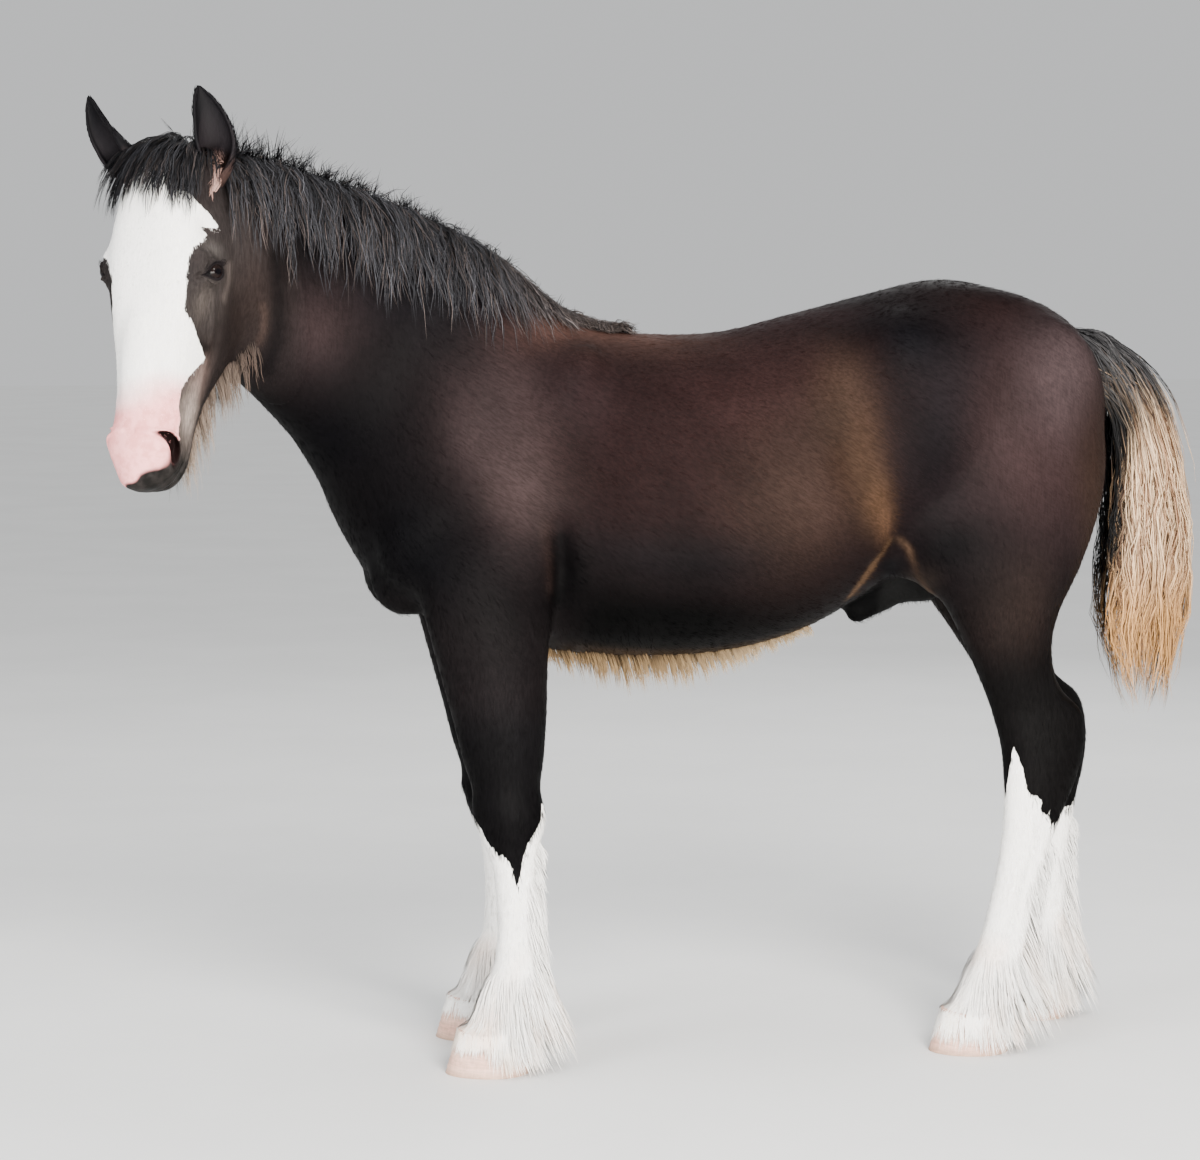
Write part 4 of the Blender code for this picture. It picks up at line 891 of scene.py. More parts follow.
HEAD_BASE, HEAD_BASE_SHARE = (42, 36, 36), 0.8
# How bright the coat is: on the body, more on the head, and less by painted shade where it faces up and where
# it lies low
COAT_BRIGHT, HEAD_BRIGHTER, TOP_PAINTED_SHADE, LOW_PAINTED_SHADE = 0.305, 0.070, 0.34, 0.14


def tone(points, normals):
    """Colour of the dark coat, without the white markings."""
    x, y, z = points.T
    s, d, l = head_coords(points)
    measured = {"x": x, "z": z, "aside": np.abs(y), "facing": normals[:, 2]}
    colour = np.tile(linear(*DARK), (len(points), 1))

    def lay(extra, share):
        nonlocal colour
        colour = blend(colour, linear(*extra), share)

    def lay_streaks(places, streaks, mirror, soft):
        for extra, wide, share, line in streaks:
            for way in (mirror, (1, 1, 1)):
                gap, along = distance_to_line(places, np.array(line) * way)
                lay(extra, share * hump((gap, wide)) * smooth(-0.02, soft, along) * smooth(1.02, 0.85, along))

    patchy = 0.16 * wander(x * 1.6 + y, z * 1.6, 31)
    sway = 0.018 * wander(x * 2.2, z * 2.2 + y, 34)
    for extra, (cx, cz), (rx, rz), share in TONES:
        lay(extra, np.clip(share * hump((x + sway - cx, rx), (z + sway - cz, rz)) * (1 + patchy), 0, 1))
    for extra, share, edges in AREAS:
        lay(extra, share * np.prod([smooth(low, high, measured[key]) for key, low, high in edges], axis=0))
    lay_streaks(points, STREAKS, (1, -1, 1), 0.12)
    head = head_share(points)
    lay(HEAD_BASE, HEAD_BASE_SHARE * head)
    for extra, (cs, cd), (rs, rd), share in HEAD_TONES:
        lay(extra, share * head * hump((s - cs, rs), (d - cd, rd)))
    lay_streaks(np.stack([s, d, l], 1), HEAD_STREAKS, (1, 1, -1), 0.15)
    # Painted shade: darker where the coat faces up and low on the body
    lit = 1 - TOP_PAINTED_SHADE * smooth(0.35, 0.95, normals[:, 2]) * (1 - head)
    lit = lit * (1 - LOW_PAINTED_SHADE * smooth(1.30, 0.70, z))
    vary = 1 + 0.12 * wander(x * 2 + y * 2, z * 2, 33) + 0.10 * wander(x * 5 + y * 3, z * 5, 32)
    return colour * ((COAT_BRIGHT + HEAD_BRIGHTER * head) * lit * vary)[:, None]


def pink_share(points):
    """Bare pink skin of the nose, from 0 to 1."""
    s, d, l = head_coords(points)
    low = smooth(0.385, 0.470, s + 0.25 * (l - 0.02) + 0.010 * wander(s * 8, l * 8, 41))
    return low * on_head(points) * smooth(0.115, 0.090, d)


# The white spot on the chin
CHIN_SPOT, SPOT_REACH = (0.566, 0.196), 0.018


def grey_share(points):
    """Dark bare skin of the lips, chin and nostrils, from 0 to 1."""
    s, d, l = head_coords(points)
    ragged = 0.012 * wander(s * 7 + d * 5, l * 9, 42)
    edge = s + 0.30 * np.maximum(0, d - 0.04) + np.where(l < 0.02, 1.1, 0.35) * (l - 0.02) + ragged
    lips = smooth(0.562, 0.572, edge)
    spot = hump((s - CHIN_SPOT[0], SPOT_REACH), (d - CHIN_SPOT[1], SPOT_REACH))
    return lips * (1 - spot) * on_head(points)


WHITE, TAN, SOIL = linear(250, 247, 242), linear(244, 212, 190), linear(220, 200, 168)
PINK = linear(238, 154, 153)
GREY = linear(19, 18, 17)


def stained_white(points):
    """White hair, a little tan and pink round the fetlocks and yellow near the floor."""
    x, y, z = points.T
    leg = leg_index(points) >= 0
    tan = leg * smooth(0.27, 0.15, z) * np.clip(0.06 + 0.5 * wander(x * 9 + y * 7, z * 6, 51), 0, 0.7)
    soil = leg * smooth(0.16, 0.03, z) * np.clip(0.05 + 0.45 * wander(x * 12, z * 9 + y * 9, 52), 0, 0.5)
    return blend(blend(WHITE, TAN, tan), SOIL, soil)


def coat_colours(points, normals, chance):
    """The colour of each tuft from its root: dark or white, with bare skin's colours on the muzzle."""
    edge = white_field(points) + chance.normal(0, 0.0014, len(points))
    white = smooth(-0.0010, 0.0010, edge)
    colour = blend(tone(points, normals), stained_white(points), white)
    colour = blend(colour, PINK, 0.85 * pink_share(points) * white)
    return blend(colour, GREY, 0.9 * grey_share(points))


# Coat as solid tufts and locks

CENTRE_N = np.array(MODEL_CENTRE)
UP_N = np.array((0.0, 0.0, 1.0))


def unwrap(points, kind=None):
    """Place of each point on an unwrap of the skin's own shape: trunk, head, legs, tail and ears as bands."""
    x, y, z = points.T
    middle_x = (TRUNK_ROWS[:, 0] + TRUNK_ROWS[:, 2]) / 2
    middle_z = np.interp(x, middle_x, (TRUNK_ROWS[:, 1] + TRUNK_ROWS[:, 3]) / 2)
    middle_y = np.interp(x, middle_x, TRUNK_ROWS[:, 4])
    round_share = np.arctan2(y - middle_y, z - middle_z) / (2 * np.pi) + 0.5
    u, v = np.clip((x + 1.0) / 2.05, 0.005, 0.995), 0.5 + 0.5 * round_share
    s, angle = face_angle(points)
    head = on_head(points)
    u = np.where(head, 0.30 * np.clip((s + 0.05) / 0.70, 0.01, 0.99), u)
    v = np.where(head, 0.25 + 0.25 * (angle / 360 + 0.5), v)
    index = leg_index(points)
    turn = leg_angle(points, index)
    leg = (index >= 0) & ~head
    u = np.where(leg, 0.30 + 0.17 * index + 0.17 * np.clip(z / 0.95, 0.01, 0.99), u)
    v = np.where(leg, 0.25 + 0.25 * (turn / 360 + 0.5), v)
    if kind == "tail":
        u = 0.40 * np.clip((1.42 - z) / 0.45, 0.01, 0.99)
        v = 0.25 * np.clip(np.arctan2(y, x - 1.03) / (2 * np.pi) + 0.5, 0.01, 0.99)
    if kind in EARS:
        root, point, mouth, across = (np.array(q) for q in ear_frame(kind))
        away = points - root
        start = 0.42 if kind == "ear_left" else 0.72
        u = start + 0.26 * np.clip(away @ point / EAR_LENGTH, 0.0, 1.0)
        v = 0.25 * np.clip(np.arctan2(away @ across, away @ mouth) / (2 * np.pi) + 0.5, 0.01, 0.99)
    return u, v


# Length and half width of a lock on the unwrap
LOCK_ON_MAP = (0.0030, 0.0015)


def resample(paths, shares, count):
    """Each path shortened to its share and cut into an even number of steps."""
    steps = paths.shape[1] - 1
    at = np.linspace(0, 1, count)[None, :] * np.asarray(shares)[:, None] * steps
    low = np.minimum(at.astype(int), steps - 1)
    part = (at - low)[..., None]
    rows = np.arange(len(paths))[:, None]
    return paths[rows, low] * (1 - part) + paths[rows, low + 1] * part


def add_values(data, name, values):
    """One number or one colour for each point."""
    kind, field = ("FLOAT", "value") if np.ndim(values) == 1 else ("FLOAT_COLOR", "color")
    if kind == "FLOAT_COLOR":
        values = np.column_stack([values, np.ones(len(values))])
    data.attributes.new(name, kind, "POINT").data.foreach_set(field, np.ravel(values).astype(np.float32))


def make_piece(name, points, triangles, values, uv=None, normals=None):
    """A smooth mesh object in the row frame, with its colours and fields as point attributes."""
    data = bpy.data.meshes.new(name)
    data.from_pydata(points - CENTRE_N, [], triangles)
    data.polygons.foreach_set("use_smooth", np.ones(len(triangles), bool))
    for key, numbers in values.items():
        add_values(data, key, numbers)
    if uv is not None:
        layer = data.uv_layers.new(name="OFBake")
        layer.data.foreach_set("uv", uv[np.asarray(triangles).ravel()].astype(np.float32).ravel())
    if normals is not None:
        data.normals_split_custom_set_from_vertices(normals.tolist())
    made = bpy.data.objects.new(name, data)
    bpy.context.scene.collection.objects.link(made)
    return made


def blades(name, paths, outs, width, thick, root_colour, tip_colour, shape=None, kind=None, roots=None,
           warm=1.4, round_share=0.5):
    """Closed, flat, tapered locks of three sides along paths, in one piece and lit like the form below."""
    count, steps = paths.shape[:2]
    levels = steps - 1
    way = unit(np.gradient(paths, axis=1))
    side = unit(np.cross(way, outs))
    out = np.cross(side, way)
    t = np.linspace(0, 1, steps)
    if shape is None:
        shape = np.sqrt(np.clip(1 - t[:-1] ** 2.2, 0, 1)) * (0.55 + 0.45 * np.minimum(1, t[:-1] * 4))

    def rows(levelled, tip):
        """Values at three corners of each level and one at the tip, lock by lock."""
        corners = np.stack(levelled, axis=2)
        return np.concatenate([corners.reshape(count, levels * 3, 3), tip], axis=1)

    across = side[:, :-1] * (np.asarray(width).reshape(-1, 1) * shape)[..., None] / 2
    above = out[:, :-1] * (np.asarray(thick).reshape(-1, 1) * np.sqrt(shape))[..., None]
    core = paths[:, :-1]
    under = core - above * 0.4
    points = rows([under - across, core + above * 0.6, under + across], paths[:, -1:])
    lit = unit(out + outs)
    turn = side[:, :-1] * round_share
    normals = unit(rows([lit[:, :-1] - turn, lit[:, :-1], lit[:, :-1] + turn], lit[:, -1:]))
    faces = [(0, 2, 1)]
    for a in range(0, levels * 3 - 3, 3):
        for i, j in ((0, 1), (1, 2), (2, 0)):
            faces += [(a + i, a + j, a + 3 + j), (a + i, a + 3 + j, a + 3 + i)]
    top, a = 3 * levels, 3 * levels - 3
    faces += [(a, a + 1, top), (a + 1, a + 2, top), (a + 2, a, top)]
    triangles = np.array(faces)[None] + (np.arange(count) * (top + 1))[:, None, None]
    first = points[0]
    if sum(np.dot(first[f[0]], np.cross(first[f[1]], first[f[2]])) for f in faces) < 0:
        triangles = triangles[..., ::-1]
    t_rows = np.concatenate([np.repeat(t[:-1], 3), [1.0]])
    if root_colour.ndim == 3:
        colours = np.concatenate([np.repeat(root_colour[:, :-1], 3, axis=1), root_colour[:, -1:]], axis=1)
    else:
        colours = blend(root_colour[:, None], tip_colour[:, None], (t_rows**warm)[None, :, None])
    u, v = unwrap(paths[:, 0] if roots is None else roots, kind)
    aside = np.concatenate([np.tile([-1.0, 0.0, 1.0], levels), [0.0]]) * LOCK_ON_MAP[1]
    down = (t_rows - 0.5) * LOCK_ON_MAP[0]
    uv = np.stack([u[:, None] + down[None], v[:, None] + aside[None]], axis=-1).reshape(-1, 2)
    print(name, "tufts", count, "triangles", len(faces) * count)
    points, triangles, colours, normals = (a.reshape(-1, 3) for a in (points, triangles, colours, normals))
    return make_piece(name, points, triangles, {"coat": colours}, uv, normals)


# Kinds of hair: locks, strands in a lock, how far they spread, the share drawn together at the tip, height
# and length of a wave, least share of the length, steps, how far loose ends part, and widths of a strand
Hair = namedtuple("Hair", "locks strands spread meet curl wave short steps loose thin wide")
HAIR = {
    "mane": Hair(570, 11, 0.0150, 0.40, 0.0090, 0.050, 0.45, 6, 1.5, 0.0011, 0.0024),
    "mane_crest": Hair(900, 5, 0.0090, 0.05, 0.0040, 0.050, 0.40, 4, 1.0, 0.0008, 0.0017),
    "mane_right": Hair(150, 7, 0.0080, 0.80, 0.0040, 0.070, 0.72, 6, 0.4, 0.0013, 0.0026),
    "forelock": Hair(235, 10, 0.0075, 0.55, 0.0035, 0.070, 0.50, 7, 0.6, 0.0009, 0.0020),
    "beard": Hair(400, 8, 0.0105, 0.25, 0.0030, 0.060, 0.40, 5, 0.9, 0.0007, 0.0015),
    "belly_fringe": Hair(520, 8, 0.0120, 0.00, 0.0020, 0.050, 0.40, 4, 1.0, 0.0009, 0.0017),
    "feather": Hair(1040, 4, 0.0090, 0.10, 0.0015, 0.070, 0.60, 5, 0.6, 0.0010, 0.0020),
    "tail": Hair(290, 9, 0.0140, 0.45, 0.0092, 0.078, 0.72, 12, 0.8, 0.0014, 0.0029),
    "tail_root": Hair(110, 8, 0.0110, 0.40, 0.0050, 0.070, 0.50, 8, 0.8, 0.0012, 0.0024),
}


def lock_count(kind):
    return int(HAIR[kind].locks * DENSE)


def strands(kind, paths, outs, chance):
    """Several strands round each lock's path, drawing together to its tip, each with a soft wave."""
    hair = HAIR[kind]
    locks, levels = paths.shape[:2]
    each = (locks, hair.strands, 1)
    t = np.linspace(0, 1, levels)
    way = unit(np.gradient(paths, axis=1))
    side = unit(np.cross(way, outs))
    out = np.cross(side, way)
    length = np.linalg.norm(np.diff(paths, axis=1), axis=2).sum(1)[:, None, None]
    a = chance.uniform(-1, 1, each) * hair.spread
    b = chance.uniform(-0.35, 1, each) * hair.spread * 0.55
    taper = (1 - hair.meet * t**1.3) + hair.loose * t**3 * chance.uniform(-1, 1, each)
    phase = chance.uniform(0, 6.3, (locks, 1, 1)) + chance.uniform(-0.9, 0.9, each)
    turn = 2 * np.pi * length * t / hair.wave + phase
    wave = hair.curl * np.minimum(1, t * 2.2)
    sway = a * taper + np.sin(turn) * wave
    lift = b * taper + 0.4 * np.cos(turn) * wave
    made = paths[:, None] + side[:, None] * sway[..., None] + out[:, None] * lift[..., None]
    made = made.reshape(-1, levels, 3)
    outs = np.repeat(out[:, None], hair.strands, 1).reshape(-1, levels, 3)
    shares = chance.uniform(hair.short, 1.0, len(made))
    return resample(made, shares, hair.steps), resample(outs, shares, hair.steps)


def hair_pieces(hair, paths, outs, chance, root, tip=None, vary=None, flat=0.4, parts=None, **looks):
    """One piece of a kind of hair, or one for each named part of its strands."""
    width = chance.uniform(HAIR[hair].thin, HAIR[hair].wide, len(paths))
    if vary:
        root, tip = shaded(root, chance, vary[0]), shaded(tip, chance, vary[1])
    pieces = []
    for name, part in (parts or {hair: slice(None)}).items():
        tips = None if tip is None else tip[part]
        pieces.append(blades(name, paths[part], outs[part], width[part], width[part] * flat, root[part], tips,
                             **looks))
    return pieces


class Surface:
    """The skin as something that locks can be laid on."""

    def __init__(self, points, triangles):
        self.tree = BVHTree.FromPolygons(points.tolist(), triangles.tolist())

    def nearest(self, points):
        spots, outs = np.zeros_like(points), np.zeros_like(points)
        for i, p in enumerate(points):
            spot, out = self.tree.find_nearest(p)[:2]
            spots[i], outs[i] = spot, out
        return spots, outs

    def drape(self, roots, lies, lengths, falls, lifts, steps, sink=0.004):
        """Paths that leave the skin, bend to their fall and stay clear of the surface."""
        falls, lifts = (np.broadcast_to(values, lengths.shape) for values in (falls, lifts))
        spots, outs = self.nearest(roots)
        point, way = spots - outs * sink, unit(lies)
        path, normals = [point], [outs]
        for k in range(1, steps + 1):
            way = unit(way - UP_N * (falls / steps)[:, None])
            point = point + way * (lengths / steps)[:, None]
            spots, near = self.nearest(point)
            gap = dots(point - spots, near)
            want = lifts * min(1.0, k / 2.0)
            low = gap < want
            point = np.where(low[:, None], spots + near * want[:, None], point)
            close = np.linalg.norm(point - spots, axis=1) < 0.06
            outs = np.where(close[:, None], unit(outs * 0.4 + near * 0.6), outs)
            way = unit(way * 0.5 + unit(point - path[-1]) * 0.5)
            path.append(point)
            normals.append(outs)
        return np.stack(path, 1), np.stack(normals, 1)


def shaded(colours, chance, spread):
    return colours * (1 + spread * chance.uniform(-1, 1, (len(colours), 1)))


def coat_lie(points, normals):
    """The way the fur lies: down the face, back along the body and down the legs."""
    x, y, z = points.T
    d = head_coords(points)[1]
    steep = 0.55 + 0.6 * smooth(-0.25, -0.50, x) + 0.8 * smooth(0.55, 0.80, x)
    lie = np.stack([np.ones_like(x), np.zeros_like(x), -steep], 1)
    foreleg = smooth(1.05, 0.80, z) * ((x < 0.05) & (np.abs(y) > 0.07))
    hindleg = smooth(1.15, 0.90, z) * (x > 0.52)
    lie = blend(lie, np.array((0.12, 0.0, -1.0)), np.maximum(foreleg, hindleg))
    face = ALONG_N + DEPTH_N * (0.15 + 0.6 * smooth(0.05, 0.20, d))[:, None]
    lie = blend(lie, face, head_share(points))
    return unit(lie - normals * dots(lie, normals)[:, None])


# Space between tufts on the trunk, legs, feet and head; length of fur on the trunk, feet and face
TRUNK_SPACE, LEG_SPACE, FOOT_SPACE, HEAD_SPACE = 0.0082, 0.0068, 0.0052, 0.0043
TRUNK_FUR, FOOT_FUR, FACE_FUR = 0.0190, 0.024, 0.0080
NECK_END = -0.30


def fur_density(middles, area):
    """How many tufts grow on each triangle: most on the face, none on the eyes, muzzle and hooves."""
    head, index, z = on_head(middles), leg_index(middles), middles[:, 2]
    eyes = np.zeros(len(middles), bool)
    for side in SIDES:
        eyes |= np.linalg.norm(middles - eye_frame(side)[0], axis=1) < 0.032
    space = np.where(index >= 0, np.where(z < 0.5, FOOT_SPACE, LEG_SPACE), TRUNK_SPACE)
    space = np.where(head, HEAD_SPACE, space)
    muzzle = np.where(head, smooth(0.53, 0.44, head_coords(middles)[0]), 1.0)
    return DENSE * area / space**2 * ~eyes * (z > 0.085) * muzzle


def grow_fur(skin_points, triangles, normals, chance):
    """Short fur over the whole skin, in tufts that follow the lie; smallest on the face and feet."""
    corners = skin_points[triangles]
    middles = corners.mean(1)
    a, b, c = (corners[:, k] for k in range(3))
    area = np.linalg.norm(np.cross(b - a, c - a), axis=1) / 2
    density = fur_density(middles, area)
    x, y = middles[:, 0], middles[:, 1]
    head, index = on_head(middles), leg_index(middles)
    body = ~head & (index < 0)
    parts = {
        "fur_head": head,
        "fur_neck": body & (x < NECK_END),
        "fur_trunk_left": body & (x >= NECK_END) & (y < 0),
        "fur_trunk_right": body & (x >= NECK_END) & (y >= 0),
        "fur_forelegs": (index == 0) | (index == 1),
        "fur_hindlegs": index >= 2,
    }
    made = []
    for name, inside in parts.items():
        share = density * inside
        total = int(share.sum())
        chosen = chance.choice(len(share), total, p=share / share.sum())
        r1, r2 = np.sqrt(chance.uniform(0, 1, (total, 1))), chance.uniform(0, 1, (total, 1))
        c = corners[chosen]
        roots = c[:, 0] * (1 - r1) + c[:, 1] * (r1 * (1 - r2)) + c[:, 2] * (r1 * r2)
        out = unit(normals[triangles[chosen]].mean(1))
        lie = coat_lie(roots, out)
        lie = unit(lie + np.cross(out, lie) * chance.normal(0, 0.16, (total, 1)))
        face = on_head(roots)
        s, d = head_coords(roots)[:2]
        low = (leg_index(roots) >= 0) & (roots[:, 2] < 0.55)
        face_length = (FACE_FUR + 0.008 * smooth(0.14, 0.24, d)) * (1 - 0.4 * smooth(0.38, 0.50, s))
        length = np.where(face, face_length, np.where(low, FOOT_FUR, TRUNK_FUR))
        length = length * chance.uniform(0.65, 1.30, total)
        stands = chance.uniform(0, 1, total) < 0.30
        lift = np.where(face, 0.0007, 0.0011) * chance.uniform(0.5, 1.4, total) * np.where(stands, 2.6, 1.0)
        paths = np.stack([roots - out * 0.0010, roots + lie * length[:, None] + out * lift[:, None]], 1)
        colour = shaded(coat_colours(roots, out, chance), chance, 0.20)
        width = np.where(face, 0.0015, 0.0022) * chance.uniform(0.7, 1.3, total)
        outs = np.repeat(out[:, None], 2, 1)
        made.append(blades(name, paths, outs, width, width * 0.30, colour, colour * 1.15, np.array([1.0]),
                           roots=roots, round_share=0.15))
    return made


def crest_places(x):
    """The crest at places along x, with the ways to the rear and out to the left."""
    rows = CREST_ROWS

    def at(x):
        return np.stack([x, np.interp(x, rows[:, 0], rows[:, 4]), np.interp(x, rows[:, 0], rows[:, 1])], 1)

    rear = unit(at(x + 0.03) - at(x - 0.03))
    left = unit(np.stack([rear[:, 1], -rear[:, 0], np.zeros(len(x))], 1))
    return at(x), rear, left


# Black roots, brown hair, and grey tips that stand in for the sheen on the black hair: a painted sheen
MANE_BLACK, MANE_SHEEN_GREY, MANE_BROWN = linear(12, 12, 14), linear(48, 48, 51), linear(69, 61, 58)
BROWN_STRANDS = 0.22
# Where the mane begins behind the poll, and how long its row of roots is: long locks, other locks
MANE_FRONT, MANE_ROW, CREST_ROW = -0.83, 0.84, 0.85


def mane_tones(kind, share, chance):
    """Root and tip colours of the strands of each lock: black with grey tips as a painted sheen in front,
    brown at the withers.
    """
    rear = np.repeat(smooth(0.55, 1.0, share), HAIR[kind].strands)[:, None]
    brown = np.clip(rear + 0.9 * (chance.uniform(0, 1, (len(rear), 1)) < BROWN_STRANDS), 0, 1)
    bright = np.exp(chance.normal(0, 0.56, (len(rear), 1)))
    return blend(MANE_BLACK, MANE_BROWN * 0.35, rear) * bright, blend(MANE_SHEEN_GREY, MANE_BROWN, brown) * bright


def grow_mane(surface, chance):
    """Long locks that fall to the left, short hair along the crest, and a few locks on the right."""
    count = lock_count("mane")
    x = np.sort(MANE_FRONT + MANE_ROW * chance.uniform(0, 1, count) ** 1.02)
    place, rear, left = crest_places(x)
    share = np.clip((x - MANE_FRONT) / MANE_ROW, 0, 1)
    row = chance.uniform(0, 1, count)
    root = place + left * (0.030 * row - 0.004)[:, None] - UP_N * 0.004
    back = chance.normal(0.08, 0.42, count) + 1.3 * share**3
    lie = left * (0.55 + 0.6 * row)[:, None] + rear * back[:, None]
    lie = lie + UP_N * (0.80 - 0.70 * row - 0.35 * share)[:, None]
    length = 0.160 + 0.105 * np.sin(np.pi * np.clip(0.08 + 0.95 * share, 0, 1))
    length = length * chance.uniform(0.42, 1.14, count) * (1 - 0.72 * smooth(0.60, 0.97, share))
    fall = 3.6 + 1.2 * row - 2.6 * share**2
    lift = 0.005 + 0.014 * (1 - row) * (1 - 0.6 * share) * chance.uniform(0.3, 1.1, count)
    paths, outs = strands("mane", *surface.drape(root, lie, length, fall, lift, 8), chance)
    dark, tip = mane_tones("mane", share, chance)
    half = len(paths) // 2
    parts = {"mane_front": slice(0, half), "mane_rear": slice(half, None)}
    pieces = hair_pieces("mane", paths, outs, chance, dark, tip, parts=parts, warm=1.6)

    count = lock_count("mane_crest")
    x = -0.84 + 0.87 * chance.uniform(0, 1, count) ** 1.15
    place, rear, left = crest_places(x)
    share = np.clip((x - MANE_FRONT) / CREST_ROW, 0, 1)
    lean = chance.uniform(-0.9, 1.1, count)
    root = place + left * (lean * 0.014)[:, None] - UP_N * 0.003
    lie = UP_N + rear * chance.uniform(-0.35, 0.8, count)[:, None] + left * (lean * 0.6)[:, None]
    length = (0.112 - 0.082 * share**0.8) * chance.uniform(0.35, 1.15, count)
    fall = 0.2 + 1.2 * chance.uniform(0, 1, count)
    paths, outs = strands("mane_crest", *surface.drape(root, lie, length, fall, 0.005, 4), chance)
    dark, tip = mane_tones("mane_crest", share, chance)
    pieces += hair_pieces("mane_crest", paths, outs, chance, dark, tip * 1.25, flat=0.45)

    count = lock_count("mane_right")
    x = -0.80 + 0.78 * chance.uniform(0, 1, count)
    place, rear, left = crest_places(x)
    root = place - left * chance.uniform(0.006, 0.024, count)[:, None] - UP_N * 0.004
    lie = left * -1.0 + UP_N * 0.4 + rear * chance.uniform(0.0, 0.6, count)[:, None]
    length = chance.uniform(0.07, 0.15, count)
    paths, outs = strands("mane_right", *surface.drape(root, lie, length, 3.0, 0.005, 6), chance)
    dark, tip = mane_tones("mane_right", np.clip((x - MANE_FRONT) / CREST_ROW, 0, 1), chance)
    return pieces + hair_pieces("mane_right", paths, outs, chance, dark, tip)


def grow_forelock(surface, chance):
    """Hair from the poll, swept over the brow and to the horse's right."""
    count = lock_count("forelock")
    left = chance.uniform(-1, 1, count)
    back = chance.uniform(0, 1, count)
    root = np.array([head_point(-0.018 + 0.032 * b, 0.088 - 0.060 * b, 0.060 * l)
                     for l, b in zip(left, back)])
    sweep = -0.42 + 0.80 * left + 0.25 * smooth(0.5, 1.0, left) + chance.uniform(-0.28, 0.28, count)
    lie = LEFT_N * sweep[:, None] - DEPTH_N * 0.9
    lie = lie + ALONG_N * 0.40 * back[:, None] + UP_N * (0.35 * (1 - back))[:, None]
    length = (0.158 - 0.030 * back) * chance.uniform(0.62, 1.10, count)
    lift = 0.004 + 0.022 * (1 - back) * chance.uniform(0.15, 1.1, count)
    fall = 2.6 + 0.8 * chance.uniform(0, 1, count)
    paths, outs = strands("forelock", *surface.drape(root, lie, length, fall, lift, 7), chance)
    dark, tip = mane_tones("forelock", np.zeros(count), chance)
    return hair_pieces("forelock", paths, outs, chance, dark * 0.8, tip * 0.42)


# Beard and belly fringe: colours at root and tip, from the front or jaw to the rear or chin
BEARD_ROOT, BEARD_TIP = ((32, 26, 24), (78, 66, 58)), ((74, 60, 53), (142, 126, 112))
BELLY_ROOT, BELLY_TIP = ((44, 33, 23), (110, 92, 70)), ((146, 120, 86), (162, 140, 108))


def grow_beard(surface, chance):
    """Soft hair under the jaw, paler towards the chin."""
    count = lock_count("beard")
    share = chance.uniform(0, 1, count) ** 1.1
    side = chance.uniform(-1, 1, count)
    root = np.array([head_point(0.225 + 0.285 * t, 0.300 - 0.135 * t, q * (0.046 - 0.014 * t))
                     for t, q in zip(share, side)])
    lie = DEPTH_N * 0.45 - UP_N + LEFT_N * (side * 0.22)[:, None]
    lie = lie + ALONG_N * chance.uniform(-0.2, 0.3, count)[:, None]
    length = (0.100 + 0.022 * share) * chance.uniform(0.30, 1.15, count)
    paths, outs = strands("beard", *surface.drape(root, lie, length, 1.5, 0.004, 6), chance)
    number = HAIR["beard"].strands
    sideways = LEFT_N * np.sign(np.repeat(side, number))[:, None]
    outs = unit(outs * 0.3 + (sideways + np.array(FORWARD) * 0.5 + UP_N * 0.25)[:, None])
    low = np.repeat(share, number)
    root_tone, tip = ramp(BEARD_ROOT, low), ramp(BEARD_TIP, low)
    return hair_pieces("beard", paths, outs, chance, root_tone, tip, (0.25, 0.28), warm=1.0)


def grow_belly(surface, chance):
    """A soft curtain of pale hair under the belly."""
    count = lock_count("belly_fringe")
    x = -0.17 + 0.60 * chance.uniform(0, 1, count)
    y = chance.uniform(-1, 1, count) * 0.085
    root = np.stack([x, y, np.full(count, 0.74)], 1)
    reach = 0.30 + 0.70 * hump((x - 0.04, 0.24), (y, 0.10))
    lie = np.stack([np.full(count, 0.45), y * 2, -(0.45 + 0.75 * reach)], 1)
    length = 0.092 * reach * chance.uniform(0.45, 1.15, count)
    paths, outs = strands("belly_fringe", *surface.drape(root, lie, length, 0.8, 0.003, 4), chance)
    outs = unit(outs * 0.3 + np.array((-0.3, -1.0, 0.2)) * np.where(paths[:, :1, 1:2] < 0.03, 1.0, -1.0))
    far = np.repeat(smooth(0.05, 0.35, x), HAIR["belly_fringe"].strands)
    root_tone, tip = ramp(BELLY_ROOT, far), ramp(BELLY_TIP, far)
    return hair_pieces("belly_fringe", paths, outs, chance, root_tone, tip, (0.25, 0.2), warm=0.8)


def clear_of_hoof(paths, name):
    """Moves points inside one hoof out to just beyond its wall."""
    front, back, half = leg_sections(name)[-2]
    share = np.clip(1 - paths[..., 2] / 0.075, 0, 1)
    toe = front.x - 0.008 - HOOF_SPREAD_TOE * share
    heel = back.x + 0.006 + HOOF_SPREAD_HEEL * share
    wide = half + 0.005 + HOOF_SPREAD_SIDE * share
    middle = (toe + heel) / 2
    a, b = (paths[..., 0] - middle) / ((heel - toe) / 2), (paths[..., 1] - front.y) / wide
    far = np.maximum(np.hypot(a, b), 1e-3)
    out = np.where((far < 1.03) & (paths[..., 2] < 0.085), 1.03 / far, 1.0)
    paths[..., 0] = middle + (paths[..., 0] - middle) * out
    paths[..., 1] = front.y + (paths[..., 1] - front.y) * out
    return paths


# Zones of the feather: locks, lowest root, height of the band of roots, flare and length
FEATHER = {
    "fringe": (350, 0.150, 0.300, 0.14, 0.046),
    "bell": (430, 0.085, 0.120, 0.28, 0.135),
    "cuff": (260, 0.078, 0.022, 0.34, 0.120),
}
HIND_FRINGE = 0.270
FEATHER_ROOT, FEATHER_TIP = (24, 22, 24), (34, 30, 32)


